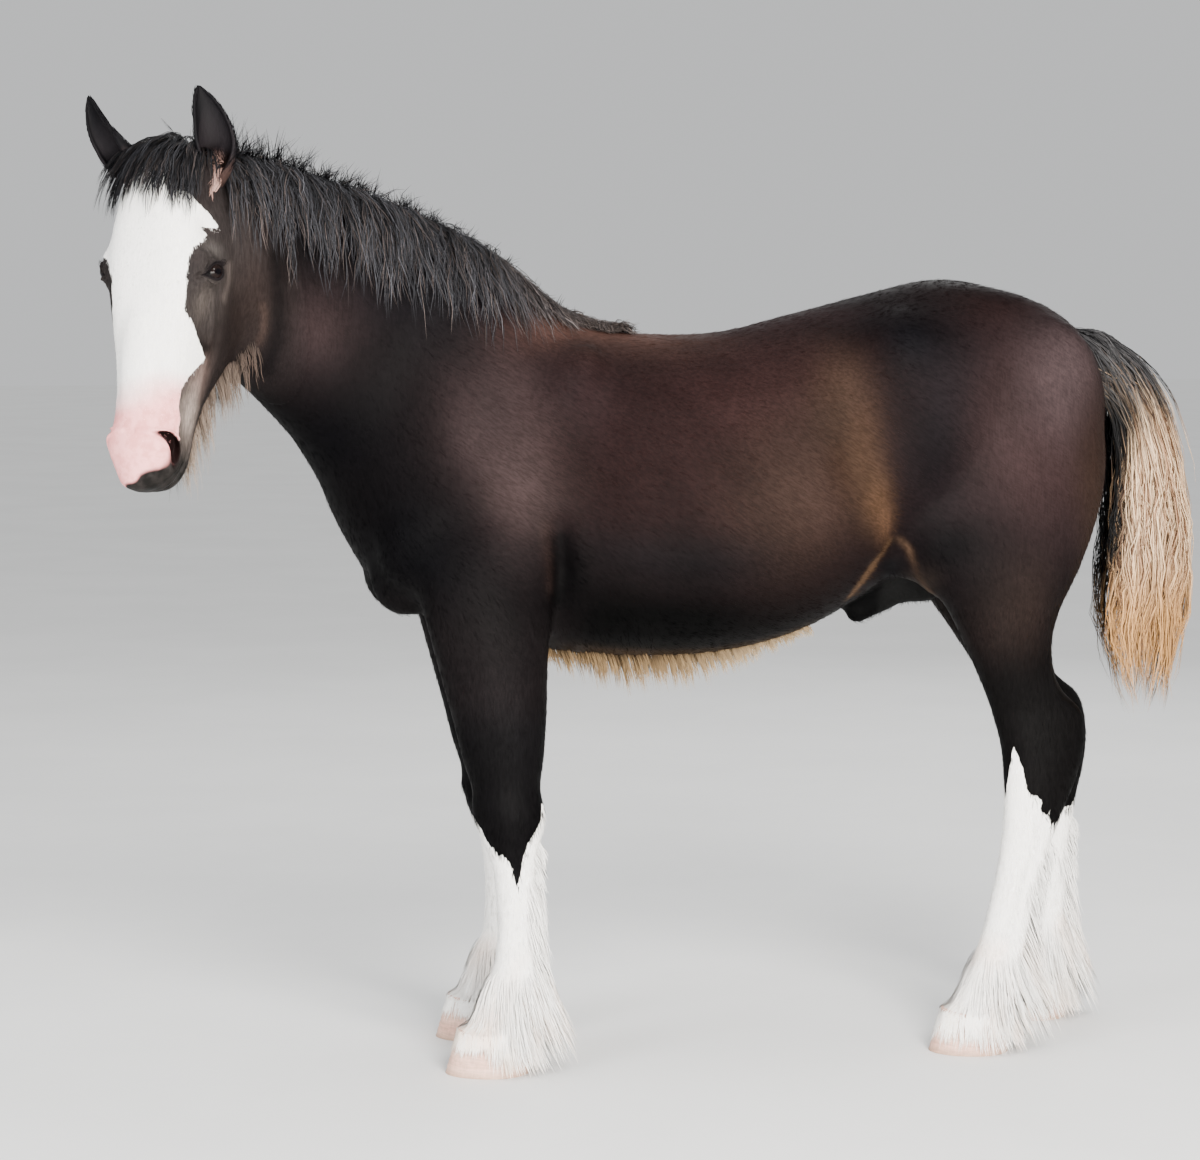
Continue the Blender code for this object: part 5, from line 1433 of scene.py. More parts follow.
def grow_feather(surface, chance, name):
    """Long hair behind the cannon and round the fetlock of one leg, which falls out over the hoof."""
    line = LEG_LINES[name]
    fore = name.startswith("fore")
    sets = []
    for kind, (locks, low, high, flare, length) in FEATHER.items():
        count = int(locks * DENSE)
        fringe = kind == "fringe"
        if fringe and not fore:
            high = HIND_FRINGE
        height = low + high * chance.uniform(0, 1, count)
        if fringe:
            angle = np.clip(chance.normal(0, 0.42, count), -1.2, 1.2)
        elif kind == "bell":
            angle = np.pi * chance.uniform(-1, 1, count) ** 3
            angle = np.where(chance.uniform(0, 1, count) < 0.5, np.pi * chance.uniform(-1, 1, count), angle)
        else:
            angle = np.pi * chance.uniform(-1, 1, count)
        out = np.stack([np.cos(angle), np.sin(angle), np.zeros(count)], 1)
        middle = np.stack([*(np.interp(height, line[:, 0], line[:, k]) for k in (1, 2)), height], 1)
        rear = 0.5 + 0.5 * np.cos(angle)
        flare = flare + (0.46 * smooth(0.36, 0.15, height) if fringe else 0.30 * rear)
        lie = out * flare[:, None] + np.array((0.10, 0.0, -1.0))
        length = length + (0.062 * smooth(0.42, 0.20, height) if fringe else 0.0)
        length = length * (0.74 + 0.46 * rear) * chance.uniform(0.50, 1.15, count)
        stop = np.where(rear < 0.35, (0.030 if fore else 0.004) + 0.012 * chance.uniform(0, 1, count), 0.005)
        length = np.minimum(length, np.maximum(height - stop, 0.01) * (1.04 + 0.20 * smooth(0.3, 0.5, rear)))
        lift = 0.002 + 0.007 * rear * chance.uniform(0.2, 1, count)
        paths, outs = surface.drape(middle + out * 0.06, lie, length, 0.30, lift, 6, sink=0.003)
        sideways = np.stack([0 * angle, np.clip(out[:, 1] * 2.5, -1, 1), 0 * angle], 1)
        outs = unit(outs * 0.3 + (out * 0.4 + sideways * 0.8 + UP_N * 0.45)[:, None])
        paths, outs = strands("feather", paths, outs, chance)
        sets.append((clear_of_hoof(paths, name), outs))
    paths, outs = (np.concatenate([part[k] for part in sets]) for k in (0, 1))
    paths[:, :, 2] = np.maximum(paths[:, :, 2], 0.003)
    roots, ends = paths[:, 0], paths[:, -1]
    white = smooth(-0.002, 0.002, white_field(roots))
    colour = blend(linear(*FEATHER_ROOT), stained_white(roots), white)
    tip = blend(linear(*FEATHER_TIP), stained_white(ends), white)
    return hair_pieces("feather", paths, outs, chance, colour, tip, (0.04, 0.05), flat=0.35,
                       parts={"feather_" + name: slice(None)}, round_share=0.2)


# The tail seen from the side: height, inner edge, outer edge, half width across
TAIL_OUTLINE = [
    (1.420, 0.955, 0.985, 0.030),
    (1.400, 0.972, 1.020, 0.040),
    (1.355, 0.992, 1.086, 0.050),
    (1.275, 1.008, 1.140, 0.058),
    (1.172, 1.018, 1.172, 0.064),
    (1.049, 1.016, 1.192, 0.070),
    (0.930, 1.008, 1.190, 0.072),
    (0.850, 1.004, 1.182, 0.070),
    (0.770, 1.022, 1.164, 0.060),
    (0.690, 1.050, 1.140, 0.046),
    (0.640, 1.085, 1.125, 0.030),
]
TAIL_STEPS = 14
TAN_STRANDS = 0.20
# Tail colours: each pair is the range from strand to strand, or from above to below at the inner edge
SILVER, BLOND = ((6, 6, 8), (70, 69, 70)), ((154, 120, 92), (208, 178, 144))
INNER_EDGE = ((7, 7, 8), (64, 50, 40))
LOW_BLOND, TAN_STREAK = (182, 136, 86), (88, 64, 48)


def tail_edges(height):
    """Inner edge, outer edge and half width of the tail at a height."""
    outline = np.array(TAIL_OUTLINE)[::-1]
    return [np.interp(height, outline[:, 0], outline[:, k]) for k in (1, 2, 3)]


def tail_tones(paths, chance):
    """Colours along each strand by its place: silver at the top, dark at the inner edge, blond below."""
    height = paths[..., 2]
    each = (len(paths), 1, 1)
    inner, outer = tail_edges(height)[:2]
    inside = ((paths[..., 0] - inner) / (outer - inner))[..., None]
    height = height[..., None]
    band = 0.15 + 0.20 * smooth(1.10, 1.28, height) - 0.22 * smooth(1.02, 0.86, height)
    own = chance.normal(0, 1, each)
    pale = np.maximum(smooth(-0.09, 0.11, inside + 0.07 * own - band), smooth(1.28, 1.34, height))
    mixed = np.clip(chance.uniform(-0.15, 1.15, each), 0, 1)
    silver, blond = ramp(SILVER, mixed), ramp(BLOND, mixed)
    blond = blend(blond, linear(*LOW_BLOND) * (0.75 + 0.35 * mixed), smooth(1.02, 0.84, height))
    blond = np.where(chance.uniform(0, 1, each) < TAN_STRANDS, linear(*TAN_STREAK), blond)
    blond = blend(silver, blond, smooth(1.335, 1.20, height + 0.035 * own))
    dark = ramp(INNER_EDGE, smooth(0.98, 0.80, height))
    return blend(dark, blond, pale) * (1 + 0.16 * chance.uniform(-1, 1, each))


def grow_tail(surface, chance):
    """Locks from the dock, which fill the outline, and shorter ones that lie over its root."""
    count = lock_count("tail")
    deep = chance.uniform(0, 1, count)[:, None] ** 0.85
    side = chance.uniform(-1, 1, count)[:, None]
    start = np.clip(1.408 - 0.33 * chance.uniform(0, 1, count)[:, None] ** 1.5, 1.06, 1.408)
    stop = 0.640 + 0.09 * np.abs(side) * chance.uniform(0, 1, count)[:, None]
    stop = stop + 0.30 * chance.uniform(0, 1, count)[:, None] ** 2.6
    t = np.linspace(0, 1, TAIL_STEPS)[None, :]
    z = start + (stop - start) * t**1.08
    inner, outer, wide = tail_edges(z)
    place = 0.5 + (deep - 0.5) * np.sqrt(np.clip(1 - 0.75 * side**2, 0.2, 1))
    dock = np.array(DOCK)[::-1]
    dock_x, dock_r = (np.interp(np.maximum(start, 1.062), dock[:, 1], dock[:, k]) for k in (0, 2))
    join = smooth(0.0, 0.20, t)
    x = (dock_x + dock_r * (1.6 * deep - 0.6)) * (1 - join) + (inner + (outer - inner) * place) * join
    y = side * dock_r * (1 - join) + side * wide * join
    flick = chance.uniform(-0.2, 1, count)[:, None] * smooth(0.72, 1.0, t) * smooth(0.55, 1.0, deep)
    arch = 0.022 * deep * np.sin(np.pi * np.clip(t / 0.25, 0, 1)) * smooth(1.30, 1.40, start)
    wave, drift = (np.sin(2 * np.pi * (z * rate + chance.uniform(0, 1, (count, 1)))) * smooth(0.1, 0.5, t)
                   for rate in (3.1, 2.3))
    paths = np.stack([x + 0.018 * flick + 0.010 * wave, y + 0.009 * drift, z + arch], 2)
    outs = unit(np.stack([deep - 0.35 + 0 * z, side + 0 * z, 0 * z], 2))
    paths, outs = strands("tail", paths, outs, chance)
    inmost = np.repeat(deep[:, 0], HAIR["tail"].strands) < 0.35
    ramp = tail_tones(paths, chance)
    parts = {"tail_dark": inmost, "tail_blond": ~inmost}
    pieces = hair_pieces("tail", paths, outs, chance, ramp, parts=parts, kind="tail")
    count = lock_count("tail_root")
    x = 0.915 + 0.115 * chance.uniform(0, 1, count)
    side = chance.uniform(-1, 1, count)
    root = np.stack([x, side * 0.030, np.full(count, 1.47)], 1)
    lie = np.stack([np.ones(count), side * 0.55, np.full(count, -0.05)], 1)
    length = chance.uniform(0.12, 0.40, count)
    paths, outs = strands("tail_root", *surface.drape(root, lie, length, 2.6, 0.007, 8), chance)
    width = chance.uniform(HAIR["tail_root"].thin, HAIR["tail_root"].wide, len(paths))
    ramp = tail_tones(paths, chance)
    return pieces + [blades("tail_root", paths, outs, width, width * 0.4, ramp, None, kind="tail")]


# Ears, eyes and hooves


def ear_frame(name):
    """Root point, pointing, opening and sideways directions of one ear."""
    root, (ahead, out, up), (open_ahead, open_out) = EARS[name][:3]
    outward = HEAD_LEFT if root.z > 0 else -HEAD_LEFT
    point = (FORWARD * ahead + outward * out + UP * up).normalized()
    mouth = FORWARD * open_ahead + outward * open_out
    mouth = (mouth - point * mouth.dot(point)).normalized()
    return head_point(*root), point, mouth, point.cross(mouth)


# How each ear's width changes along it: at the root, and the factors of the share and of its square
EAR_SHAPE = {"ear_left": (0.66, 1.35, -1.72), "ear_right": (0.82, 0.40, -1.00)}
EAR_STRETCH = {"ear_left": 1.0, "ear_right": 1.17}
EAR_POINTS = 26


def ear_ring(name, share):
    """One C-shaped level of an ear, whose opening widens above the root."""
    root, point, mouth, across = ear_frame(name)
    inward = -HEAD_LEFT if EARS[name][0].z > 0 else HEAD_LEFT
    bend = inward * (EARS[name][3] * max(0.0, share) ** 2.2)
    base, slope, curve = EAR_SHAPE[name]
    half = EAR_HALF_WIDTH * (base + slope * share + curve * share**2) * (1 - share**14) + 0.002
    gape = math.radians(20 + 62 * min(1, share / 0.45))
    centre = root + point * (EAR_LENGTH * EAR_STRETCH[name] * share) + bend
    centre = centre + mouth * (0.016 * math.sin(math.pi * share))
    flat = 0.72 - 0.25 * share
    angles = [gape + (2 * math.pi - 2 * gape) * k / (EAR_POINTS - 1) for k in range(EAR_POINTS)]
    outer = [(half, angle) for angle in angles]
    inner = [(half - min(EAR_WALL, half * 0.6), 2 * math.pi - angle) for angle in angles]
    return [centre + mouth * (math.cos(angle) * radius * flat) + across * (math.sin(angle) * radius)
            for radius, angle in outer + inner]


EAR_DARK, EAR_INSIDE, EAR_ROOT_SKIN = linear(10, 9, 11), linear(22, 19, 21), linear(50, 37, 34)
EAR_FUR, TUFT_DARK, TUFT_TAN = linear(11, 10, 12), linear(26, 22, 24), linear(158, 126, 116)
EAR_HAIRS, EAR_TUFT_HAIRS = 420, 340


def make_cup(name):
    """The ear itself, a smooth cup."""
    shares = np.concatenate([[-0.14, -0.06], np.linspace(0.0, 0.93, 26), [0.955, 0.975, 0.99]])
    mesh = bmesh.new()
    add_loft(mesh, [ear_ring(name, float(share)) for share in shares])
    points, triangles = form_arrays(mesh)
    root, point, mouth = (np.array(q) for q in ear_frame(name)[:3])
    away = points - root
    up = away @ point / EAR_LENGTH
    off_axis = np.linalg.norm(away - np.outer(away @ point, point), axis=1)
    inside = (point_normals(points, triangles) @ mouth > 0.25) & (off_axis < EAR_HALF_WIDTH)
    colour = np.tile(EAR_DARK, (len(points), 1))
    colour = blend(colour, EAR_INSIDE, inside * smooth(0.9, 0.3, up))
    colour = blend(colour, EAR_ROOT_SKIN, inside * smooth(0.30, 0.05, up))
    return make_piece(name + "_cup", points, triangles, {"coat": colour})


def ear_fur(name, chance):
    """Short hair over both faces of the ear."""
    count = int(EAR_HAIRS * DENSE)
    share = chance.uniform(0.02, 0.90, count)
    turn = chance.uniform(0, 1, count)
    roots, lies, outs = [], [], []
    for at, angle_share in zip(share, turn):
        ring, above = (ear_ring(name, float(at) + step) for step in (0, 0.02))
        k = int(angle_share * (EAR_POINTS - 1))
        roots.append(np.array(ring[k]))
        lies.append(unit(np.array(above[k]) - roots[-1]))
        outs.append(unit(roots[-1] - np.array(sum(ring, Vector()) / len(ring))))
    roots, lies, outs = np.array(roots), np.array(lies), np.array(outs)
    length = (0.013 + 0.010 * (1 - share)) * chance.uniform(0.7, 1.2, count)
    paths = np.stack([roots - outs * 0.0012, roots + lies * (length * 0.5)[:, None] + outs * 0.0016,
                      roots + lies * length[:, None] + outs * 0.0022], 1)
    dark = shaded(np.tile(EAR_FUR, (count, 1)), chance, 0.25)
    width = chance.uniform(0.0014, 0.0022, count)
    return blades(name + "_fur", paths, np.repeat(outs[:, None], 3, 1), width, width * 0.4, dark, dark * 1.3,
                  np.array([1.0, 0.8]), kind=name, roots=roots)


def short_paths(start, lie, length, bend):
    """Short curved paths of five points."""
    t = np.linspace(0, 1, 5)[None, :, None]
    return start[:, None] + lie[:, None] * length[:, None, None] * t + bend * t**2


def ear_tuft(name, chance):
    """Longer hair at the root of the ear, tan on the near side."""
    root, point, mouth, across = (np.array(q) for q in ear_frame(name))
    count = int(EAR_TUFT_HAIRS * DENSE)
    share = chance.uniform(-0.12, 0.26, count)
    turn = chance.choice([-1.0, 1.0], count) * chance.uniform(0.0, 1.0, count)
    low = smooth(0.24, 0.04, share) * (1.0 if root[1] < -0.3 else 0.15)
    start = root + point * (EAR_LENGTH * share)[:, None] + across * (turn * 0.015)[:, None]
    start = start + mouth * (0.004 + 0.010 * low)[:, None]
    lie = point * (0.75 - 1.1 * low)[:, None] - across * (turn * 0.25)[:, None]
    lie = lie + mouth * (0.42 - 0.1 * low)[:, None]
    length = (0.022 + 0.018 * low) * chance.uniform(0.6, 1.2, count)
    paths = short_paths(start, unit(lie), length, point * -0.006)
    outs = np.tile(unit(mouth), (count, 5, 1))
    tan = blend(TUFT_DARK, TUFT_TAN, low)
    width = chance.uniform(0.0009, 0.0018, count)
    return blades(name + "_tuft", paths, outs, width, width * 0.4, shaded(tan * 0.7, chance, 0.2),
                  shaded(tan, chance, 0.25), kind=name, roots=start)


EYE_BASE, IRIS, PUPIL = linear(12, 10, 11), linear(19, 13, 12), linear(5, 4, 6)


def make_eye(side, name):
    """An eyeball with a dark brown iris, a level pupil and a clear bulge over them."""
    centre, out = eye_frame(side)[:2]
    level = unit(np.cross(UP_N, out))
    mesh = bmesh.new()
    bmesh.ops.create_uvsphere(mesh, u_segments=64, v_segments=40, radius=1)
    ball, triangles = form_arrays(mesh)
    x, y, z = ball.T
    points = ball @ np.array([level, np.cross(out, level), out])
    facing = np.degrees(np.arccos(np.clip(z, -1, 1)))
    radius = EYE_RADIUS - 0.0006 + 0.0009 * smooth(38, 20, facing)
    rays = 1 + 0.25 * wander(np.arctan2(y, x) * 3, facing * 0.01, 61)
    colour = np.tile(EYE_BASE, (len(points), 1))
    colour = blend(colour, IRIS * rays[:, None], smooth(0.66, 0.62, np.hypot(x, y)) * (z > 0))
    colour = blend(colour, PUPIL, smooth(0.26, 0.23, np.hypot(x / 1.45, y / 0.95)) * (z > 0))
    return make_piece(name, centre + points * radius[:, None], triangles, {"coat": colour})


# Lashes of each eye: name, number, share of the full length
LASHES = {1: ("lashes_left", 46, 1.0), -1: ("lashes_right", 18, 0.4)}
LASH_WIDTH, LASH_COLOUR = 0.0006, linear(24, 21, 22)


def make_lashes(side, chance):
    centre, out, front, high = eye_frame(side)
    name, count, long = LASHES[side]
    a = np.linspace(-0.92, 0.80, count) * LID_WIDE + chance.normal(0, 0.02, count)
    b = LID_HIGH * 1.08 * (1 - np.abs(a / LID_WIDE) ** 2.2) + 0.07
    way = out * (np.cos(a) * np.cos(b))[:, None] + front * np.sin(a)[:, None] + high * np.sin(b)[:, None]
    way = unit(way)
    start = centre + way * (EYE_RADIUS + 0.0030)
    lie = unit(way * 0.9 - high * 0.55 + front * (a * 0.5)[:, None])
    paths = short_paths(start, lie, chance.uniform(0.008, 0.013, count) * long, high * 0.006)
    colour = np.tile(LASH_COLOUR, (count, 1))
    width = np.full(count, LASH_WIDTH)
    return blades(name, paths, np.repeat(way[:, None], 5, 1), width, width, colour, colour, roots=start)


def coronet_plane(name):
    """A point and the upward normal of the plane where one leg meets its hoof."""
    front, back = leg_sections(name)[-1][:2]
    toe = Vector((front.x, front.y, CORONET_TOE))
    heel = Vector((back.x, back.y, CORONET_HEEL))
    way = (toe - heel).normalized()
    return (toe + heel) / 2, way.cross(RIGHT) if way.cross(RIGHT).z > 0 else RIGHT.cross(way)


def hoof_ring(name, share, count=72):
    """One level of a hoof wall, from the coronet at share 0 to the floor at share 1, with growth rings."""
    front, back, half = leg_sections(name)[-2]
    centre, normal = coronet_plane(name)
    ripple = 0.0004 * math.sin(46 * share) + 0.0003 * math.sin(87 * share + 1)
    toe = front.x - 0.006 - HOOF_SPREAD_TOE * share - ripple
    heel = back.x + 0.004 + HOOF_SPREAD_HEEL * share
    wide = half + 0.003 + HOOF_SPREAD_SIDE * share + ripple
    points = []
    for k in range(count):
        angle = 2 * math.pi * k / count
        reach = math.cos(angle)
        x = (toe + heel) / 2 - (heel - toe) / 2 * reach
        y = front.y + wide * math.sin(angle) * (1 - 0.12 * reach)
        top = centre.z - (x - centre.x) * normal.x / normal.z + 0.004
        points.append(Vector((x, y, top * (1 - share))))
    return points


HORN, HORN_DARK, HORN_SOILED = linear(228, 186, 166), linear(200, 150, 130), linear(150, 124, 100)
HOOF_LEVELS = 26


def make_hoof(name):
    """The wall and sole of one hoof, pale horn, soiled at the floor."""
    mesh = bmesh.new()
    shares = [1.0, 0.985] + [k / HOOF_LEVELS for k in range(HOOF_LEVELS - 1, -1, -1)]
    add_loft(mesh, [hoof_ring(name, share) for share in shares])
    points, triangles = form_arrays(mesh)
    x, y, z = points.T
    dark = np.clip(0.35 + 0.4 * wander(x * 9 + y * 9, z * 25, 71), 0, 1)
    colour = blend(blend(HORN, HORN_DARK, dark), HORN_SOILED, 0.6 * smooth(0.018, 0.0, z))
    return make_piece(name.replace("leg", "hoof") + "_wall", points, triangles, {"coat": colour})


# Finishes


class Paint:
    """A node material built in a few calls."""

    def __init__(self, name):
        self.made = bpy.data.materials.new(name)
        self.made.use_nodes = True
        self.tree = self.made.node_tree
        self.surface = self.tree.nodes["Principled BSDF"]

    def node(self, kind, inputs=None, **values):
        """A node with its settings; each input takes a value or another node's output."""
        made = self.tree.nodes.new(kind)
        for key, value in values.items():
            setattr(made, key, value)
        self.fill(made, inputs or {})
        return made

    def fill(self, node, inputs):
        for key, value in inputs.items():
            if isinstance(value, bpy.types.NodeSocket):
                self.tree.links.new(value, node.inputs[key])
            else:
                node.inputs[key].default_value = value

    def set(self, **values):
        """Sets or links inputs of the surface."""
        self.fill(self.surface, {key.replace("_", " "): value for key, value in values.items()})

    def attribute(self, name, output="Fac"):
        return self.node("ShaderNodeAttribute", attribute_name=name).outputs[output]

    def noise(self, scale, detail=3.0, stretch=(1, 1, 1), turn=(0, 0, 0)):
        place = self.node("ShaderNodeTexCoord").outputs["Object"]
        sizes = {"Scale": [1 / k for k in stretch], "Rotation": turn, "Vector": place}
        mapping = self.node("ShaderNodeMapping", sizes, vector_type="TEXTURE").outputs["Vector"]
        numbers = {"Scale": scale, "Detail": detail, "Roughness": 0.6, "Vector": mapping}
        return self.node("ShaderNodeTexNoise", numbers).outputs["Fac"]

    def spread(self, value, low, high, out_low, out_high):
        """The value moved from one range to another with soft ends."""
        sizes = {"From Min": low, "From Max": high, "To Min": out_low, "To Max": out_high, "Value": value}
        return self.node("ShaderNodeMapRange", sizes, interpolation_type="SMOOTHSTEP").outputs["Result"]

    def math(self, kind, a, b):
        return self.node("ShaderNodeMath", {0: a, 1: b}, operation=kind).outputs[0]

    def mix(self, share, a, b, kind="MIX"):
        a, b = ((*colour, 1) if isinstance(colour, tuple) else colour for colour in (a, b))
        made = self.node("ShaderNodeMix", {0: share, 6: a, 7: b}, data_type="RGBA", blend_type=kind)
        return made.outputs[2]

    def vary(self, colour, value, low, high, out_low, out_high):
        """A colour made darker and lighter by a value."""
        return self.mix(1.0, colour, self.spread(value, low, high, out_low, out_high), "MULTIPLY")

    def bump(self, height, strength, distance):
        sizes = {"Strength": strength, "Distance": distance, "Height": height}
        self.set(Normal=self.node("ShaderNodeBump", sizes).outputs["Normal"])


# Colours that the skin's paint mixes in: patches of bare skin, the edge of the lids, and painted shade inside
# the nostril
PINK_PATCH, GREY_PATCH, LID_DARK, NOSTRIL_SHADE = (
    tuple(linear(*c)) for c in ((218, 130, 128), (36, 33, 32), (20, 17, 18), (20, 11, 11)))


def skin_paint():
    p = Paint("skin")
    flow = p.mix(p.attribute("upright"), p.noise(260, 4, (0.22, 1, 1), (0, 0.6, 0)),
                 p.noise(260, 4, (1, 1, 0.18)))
    broad = p.noise(9, 3)
    colour = p.vary(p.attribute("coat", "Color"), flow, 0.34, 0.66, 0.76, 1.26)
    colour = p.vary(colour, broad, 0.3, 0.7, 0.90, 1.10)
    ragged = p.math("MULTIPLY", p.math("SUBTRACT", p.noise(170, 3, (1, 1, 0.30)), 0.5), 0.012)
    edge = p.math("ADD", p.attribute("white"), ragged)
    pale = p.vary(p.attribute("pale", "Color"), flow, 0.3, 0.7, 0.93, 1.02)
    white = p.spread(edge, -0.0012, 0.0012, 0, 1)
    colour = p.mix(white, colour, pale)
    mottled = p.noise(46, 4)
    pink = p.mix(p.spread(mottled, 0.38, 0.62, 0, 1), tuple(PINK), PINK_PATCH)
    colour = p.mix(p.math("MULTIPLY", p.math("MULTIPLY", p.attribute("pink"), white), 0.92), colour, pink)
    grey = p.mix(p.spread(mottled, 0.35, 0.7, 0, 1), tuple(GREY), GREY_PATCH)
    colour = p.mix(p.attribute("grey"), colour, grey)
    colour = p.mix(p.attribute("lids"), colour, LID_DARK)
    # Painted shade inside the nostrils
    colour = p.mix(p.attribute("inner"), colour, NOSTRIL_SHADE)
    bare = p.math("MAXIMUM", p.attribute("grey"), p.attribute("pink"))
    p.set(Base_Color=colour, Roughness=p.spread(bare, 0, 1, 0.56, 0.44), Specular_IOR_Level=0.03)
    p.bump(p.math("ADD", flow, p.math("MULTIPLY", p.noise(900, 2), 0.3)), 0.22, 0.0014)
    return p.made


def hair_paint(name, roughness, specular, vary=(0.80, 1.22)):
    p = Paint(name)
    fine = p.noise(330, 2)
    colour = p.vary(p.attribute("coat", "Color"), fine, 0.3, 0.7, *vary)
    rough = p.spread(p.noise(60, 2), 0.3, 0.7, roughness - 0.05, roughness + 0.06)
    p.set(Base_Color=colour, Roughness=rough, Specular_IOR_Level=specular, Sheen_Roughness=0.4)
    return p.made


def ear_paint():
    p = Paint("ear_skin")
    flow = p.noise(300, 3, (1, 1, 0.2))
    p.set(Base_Color=p.vary(p.attribute("coat", "Color"), flow, 0.25, 0.75, 0.75, 1.25),
          Roughness=p.spread(flow, 0.3, 0.7, 0.55, 0.65), Specular_IOR_Level=0.06)
    p.bump(flow, 0.3, 0.001)
    return p.made


def eye_paint():
    p = Paint("eye_ball")
    p.set(Base_Color=p.vary(p.attribute("coat", "Color"), p.noise(420, 3), 0.3, 0.7, 0.85, 1.15),
          Roughness=p.spread(p.noise(50, 2), 0.3, 0.7, 0.05, 0.09),
          Specular_IOR_Level=0.05, Coat_Weight=0.03, Coat_Roughness=0.05)
    return p.made


def hoof_paint():
    p = Paint("hoof_horn")
    rings = p.noise(40, 4, (1, 1, 7))
    grain = p.noise(220, 3, (1, 1, 0.10))
    colour = p.vary(p.attribute("coat", "Color"), rings, 0.3, 0.7, 0.84, 1.10)
    colour = p.vary(colour, grain, 0.3, 0.7, 0.90, 1.08)
    p.set(Base_Color=colour, Roughness=p.spread(rings, 0.3, 0.7, 0.42, 0.58))
    p.bump(p.math("ADD", rings, p.math("MULTIPLY", grain, 0.5)), 0.35, 0.0012)
    return p.made


def floor_paint():
    p = Paint("floor_pale")
    p.set(Base_Color=p.mix(p.spread(p.noise(1.3, 4), 0.3, 0.7, 0, 1), (0.80, 0.80, 0.79), (0.84, 0.84, 0.83)),
          Roughness=p.spread(p.noise(30, 3), 0.3, 0.7, 0.62, 0.72))
    return p.made


def finish_piece(piece, paint, nodes=()):
    piece.data.materials.append(paint)
    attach(piece, "root")
    if nodes:
        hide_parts(*nodes)


# Making

chance = np.random.default_rng(7)
skin_points, skin_triangles = fuse_skin()
skin_points, marks = sculpt(skin_points, skin_triangles)
skin_normals = point_normals(skin_points, skin_triangles)
skin_points = skin_points - skin_normals * (coat_depth(skin_points) * (1 - marks["lids"]))[:, None]
surface = Surface(skin_points, skin_triangles)
print("skin points", len(skin_points), "triangles", len(skin_triangles))

to_neck, to_quarters = smooth(-0.2, -0.45, skin_points[:, 0]), smooth(0.55, 0.75, skin_points[:, 0])
legs_and_head = (leg_index(skin_points) >= 0) | on_head(skin_points)
skin = make_piece("skin", skin_points, skin_triangles, {
    "coat": tone(skin_points, skin_normals),
    "white": white_field(skin_points),
    "pink": pink_share(skin_points),
    "grey": grey_share(skin_points),
    "lids": marks["lids"],
    "inner": marks["inner"],
    "upright": np.maximum(legs_and_head, 0.6 * to_neck + 0.5 * to_quarters),
    "pale": stained_white(skin_points),
})

FLESH = ("head", "neck", "torso", "hindquarters")
flesh_nodes = [node for node in frame["nodes"] if node in FLESH or node.endswith(("_upper", "_lower"))]
skin_finish, ear_finish = skin_paint(), ear_paint()
fur_finish = hair_paint("short_fur", 0.56, 0.02)
mane_finish = hair_paint("mane_hair", 0.48, 0.05)
pale_finish = hair_paint("pale_hair", 0.62, 0.10, (0.94, 1.04))
tail_finish = hair_paint("tail_hair", 0.52, 0.09, (0.86, 1.12))
eye_finish, hoof_finish = eye_paint(), hoof_paint()
finish_piece(skin, skin_finish, flesh_nodes)

for piece in grow_fur(skin_points, skin_triangles, skin_normals, chance):
    finish_piece(piece, fur_finish)
for piece in grow_mane(surface, chance) + grow_forelock(surface, chance):
    finish_piece(piece, mane_finish)
for piece in grow_beard(surface, chance) + grow_belly(surface, chance):
    finish_piece(piece, pale_finish)
for name in LEGS:
    for piece in grow_feather(surface, chance, name):
        finish_piece(piece, pale_finish)
for piece in grow_tail(surface, chance):
    finish_piece(piece, tail_finish, ["tail"])
for name in EARS:
    finish_piece(make_cup(name), ear_finish, [name])
    finish_piece(ear_fur(name, chance), fur_finish)
    finish_piece(ear_tuft(name, chance), fur_finish)
for side, name in ((1, "eye_left"), (-1, "eye_right")):
    finish_piece(make_eye(side, name + "_ball"), eye_finish, [name])
    finish_piece(make_lashes(side, chance), fur_finish)
for name in LEGS:
    finish_piece(make_hoof(name), hoof_finish, [name.replace("leg", "hoof")])

# Floor, light and camera

mesh = bmesh.new()
bmesh.ops.create_grid(mesh, x_segments=2, y_segments=2, size=40)
floor = new_object("floor", mesh)
floor.data.materials.append(floor_paint())

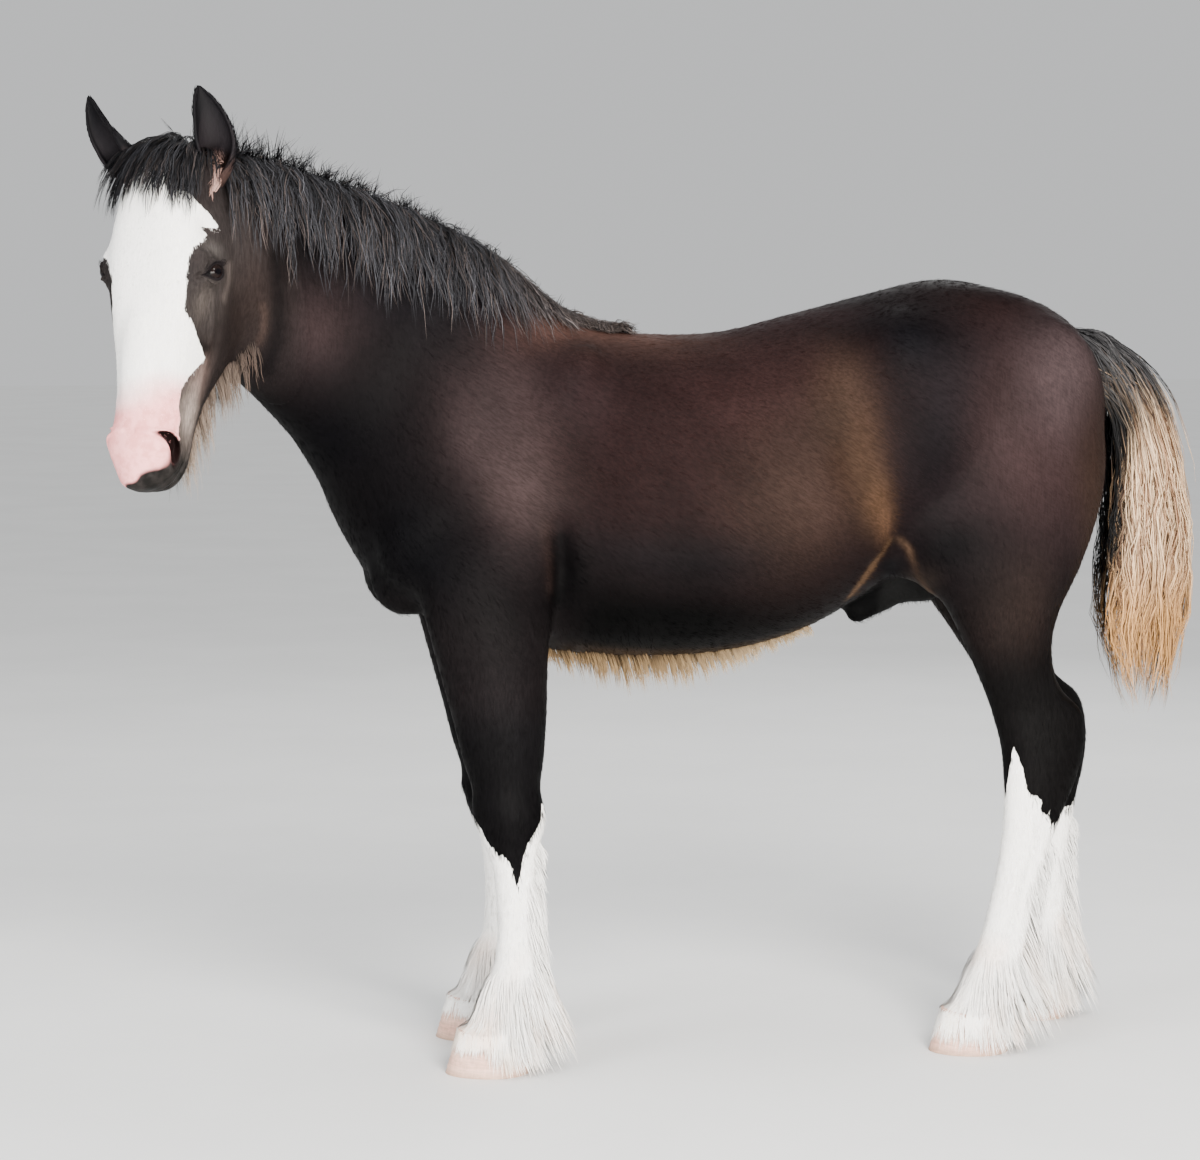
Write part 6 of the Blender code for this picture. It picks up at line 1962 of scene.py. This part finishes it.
# Area lights: place, the point each looks at, size in metres, power in watts, colour
LIGHTS = {
    "key": ((1.2, -5.4, 4.6), (0.0, 0.0, 0.9), 2.4, 640, (1.0, 0.97, 0.93)),
    "fill": ((-5.0, -3.8, 2.6), (-0.3, 0.0, 1.0), 3.0, 330, (0.94, 0.97, 1.0)),
    "low": ((0.2, -5.2, 0.7), (0.2, 0.0, 0.10), 2.4, 700, (1.0, 0.965, 0.91)),
    "top": ((0.3, 0.6, 5.2), (0.0, 0.0, 1.2), 3.5, 70, (1, 1, 1)),
    "back": ((2.5, 5.0, 3.6), (0.0, 0.0, 1.2), 3.0, 80, (1, 1, 1)),
}
SUN_POWER, SUN_ANGLE = 0.35, math.radians(60)
WORLD_COLOUR, WORLD_POWER = (0.88, 0.89, 0.90, 1), 0.78
CAMERA_PLACE, CAMERA_PITCH, CAMERA_YAW = (-1.231, -6.279, 1.55), math.radians(5.35), math.radians(10.0)
LENS_LENGTH, SENSOR_WIDTH, FAR_CLIP = 97.86, 36, 200


def place_thing(name, data, place, look):
    """A light or camera in the scene that looks along a direction."""
    made = bpy.data.objects.new(name, data)
    made.location = place
    made.rotation_mode = "QUATERNION"
    made.rotation_quaternion = look.to_track_quat("-Z", "Y")
    bpy.context.scene.collection.objects.link(made)
    return made


for name, (place, target, size, power, tint) in LIGHTS.items():
    data = bpy.data.lights.new(name, "AREA")
    data.shape, data.size, data.energy, data.color = "DISK", size, power, tint
    place_thing(name, data, place, Vector(target) - Vector(place))

even = bpy.data.lights.new("even", "SUN")
even.energy, even.angle = SUN_POWER, SUN_ANGLE
bpy.context.scene.collection.objects.link(bpy.data.objects.new("even", even))
world = bpy.data.worlds.new("pale")
world.use_nodes = True
background = world.node_tree.nodes["Background"]
background.inputs["Color"].default_value = WORLD_COLOUR
background.inputs["Strength"].default_value = WORLD_POWER
bpy.context.scene.world = world

lens = bpy.data.cameras.new("camera")
lens.lens, lens.sensor_width, lens.clip_end = LENS_LENGTH, SENSOR_WIDTH, FAR_CLIP
level = math.cos(CAMERA_PITCH)
look = Vector((math.sin(CAMERA_YAW) * level, math.cos(CAMERA_YAW) * level, -math.sin(CAMERA_PITCH)))
bpy.context.scene.camera = place_thing("camera", lens, CAMERA_PLACE, look)

bpy.context.view_layer.update()
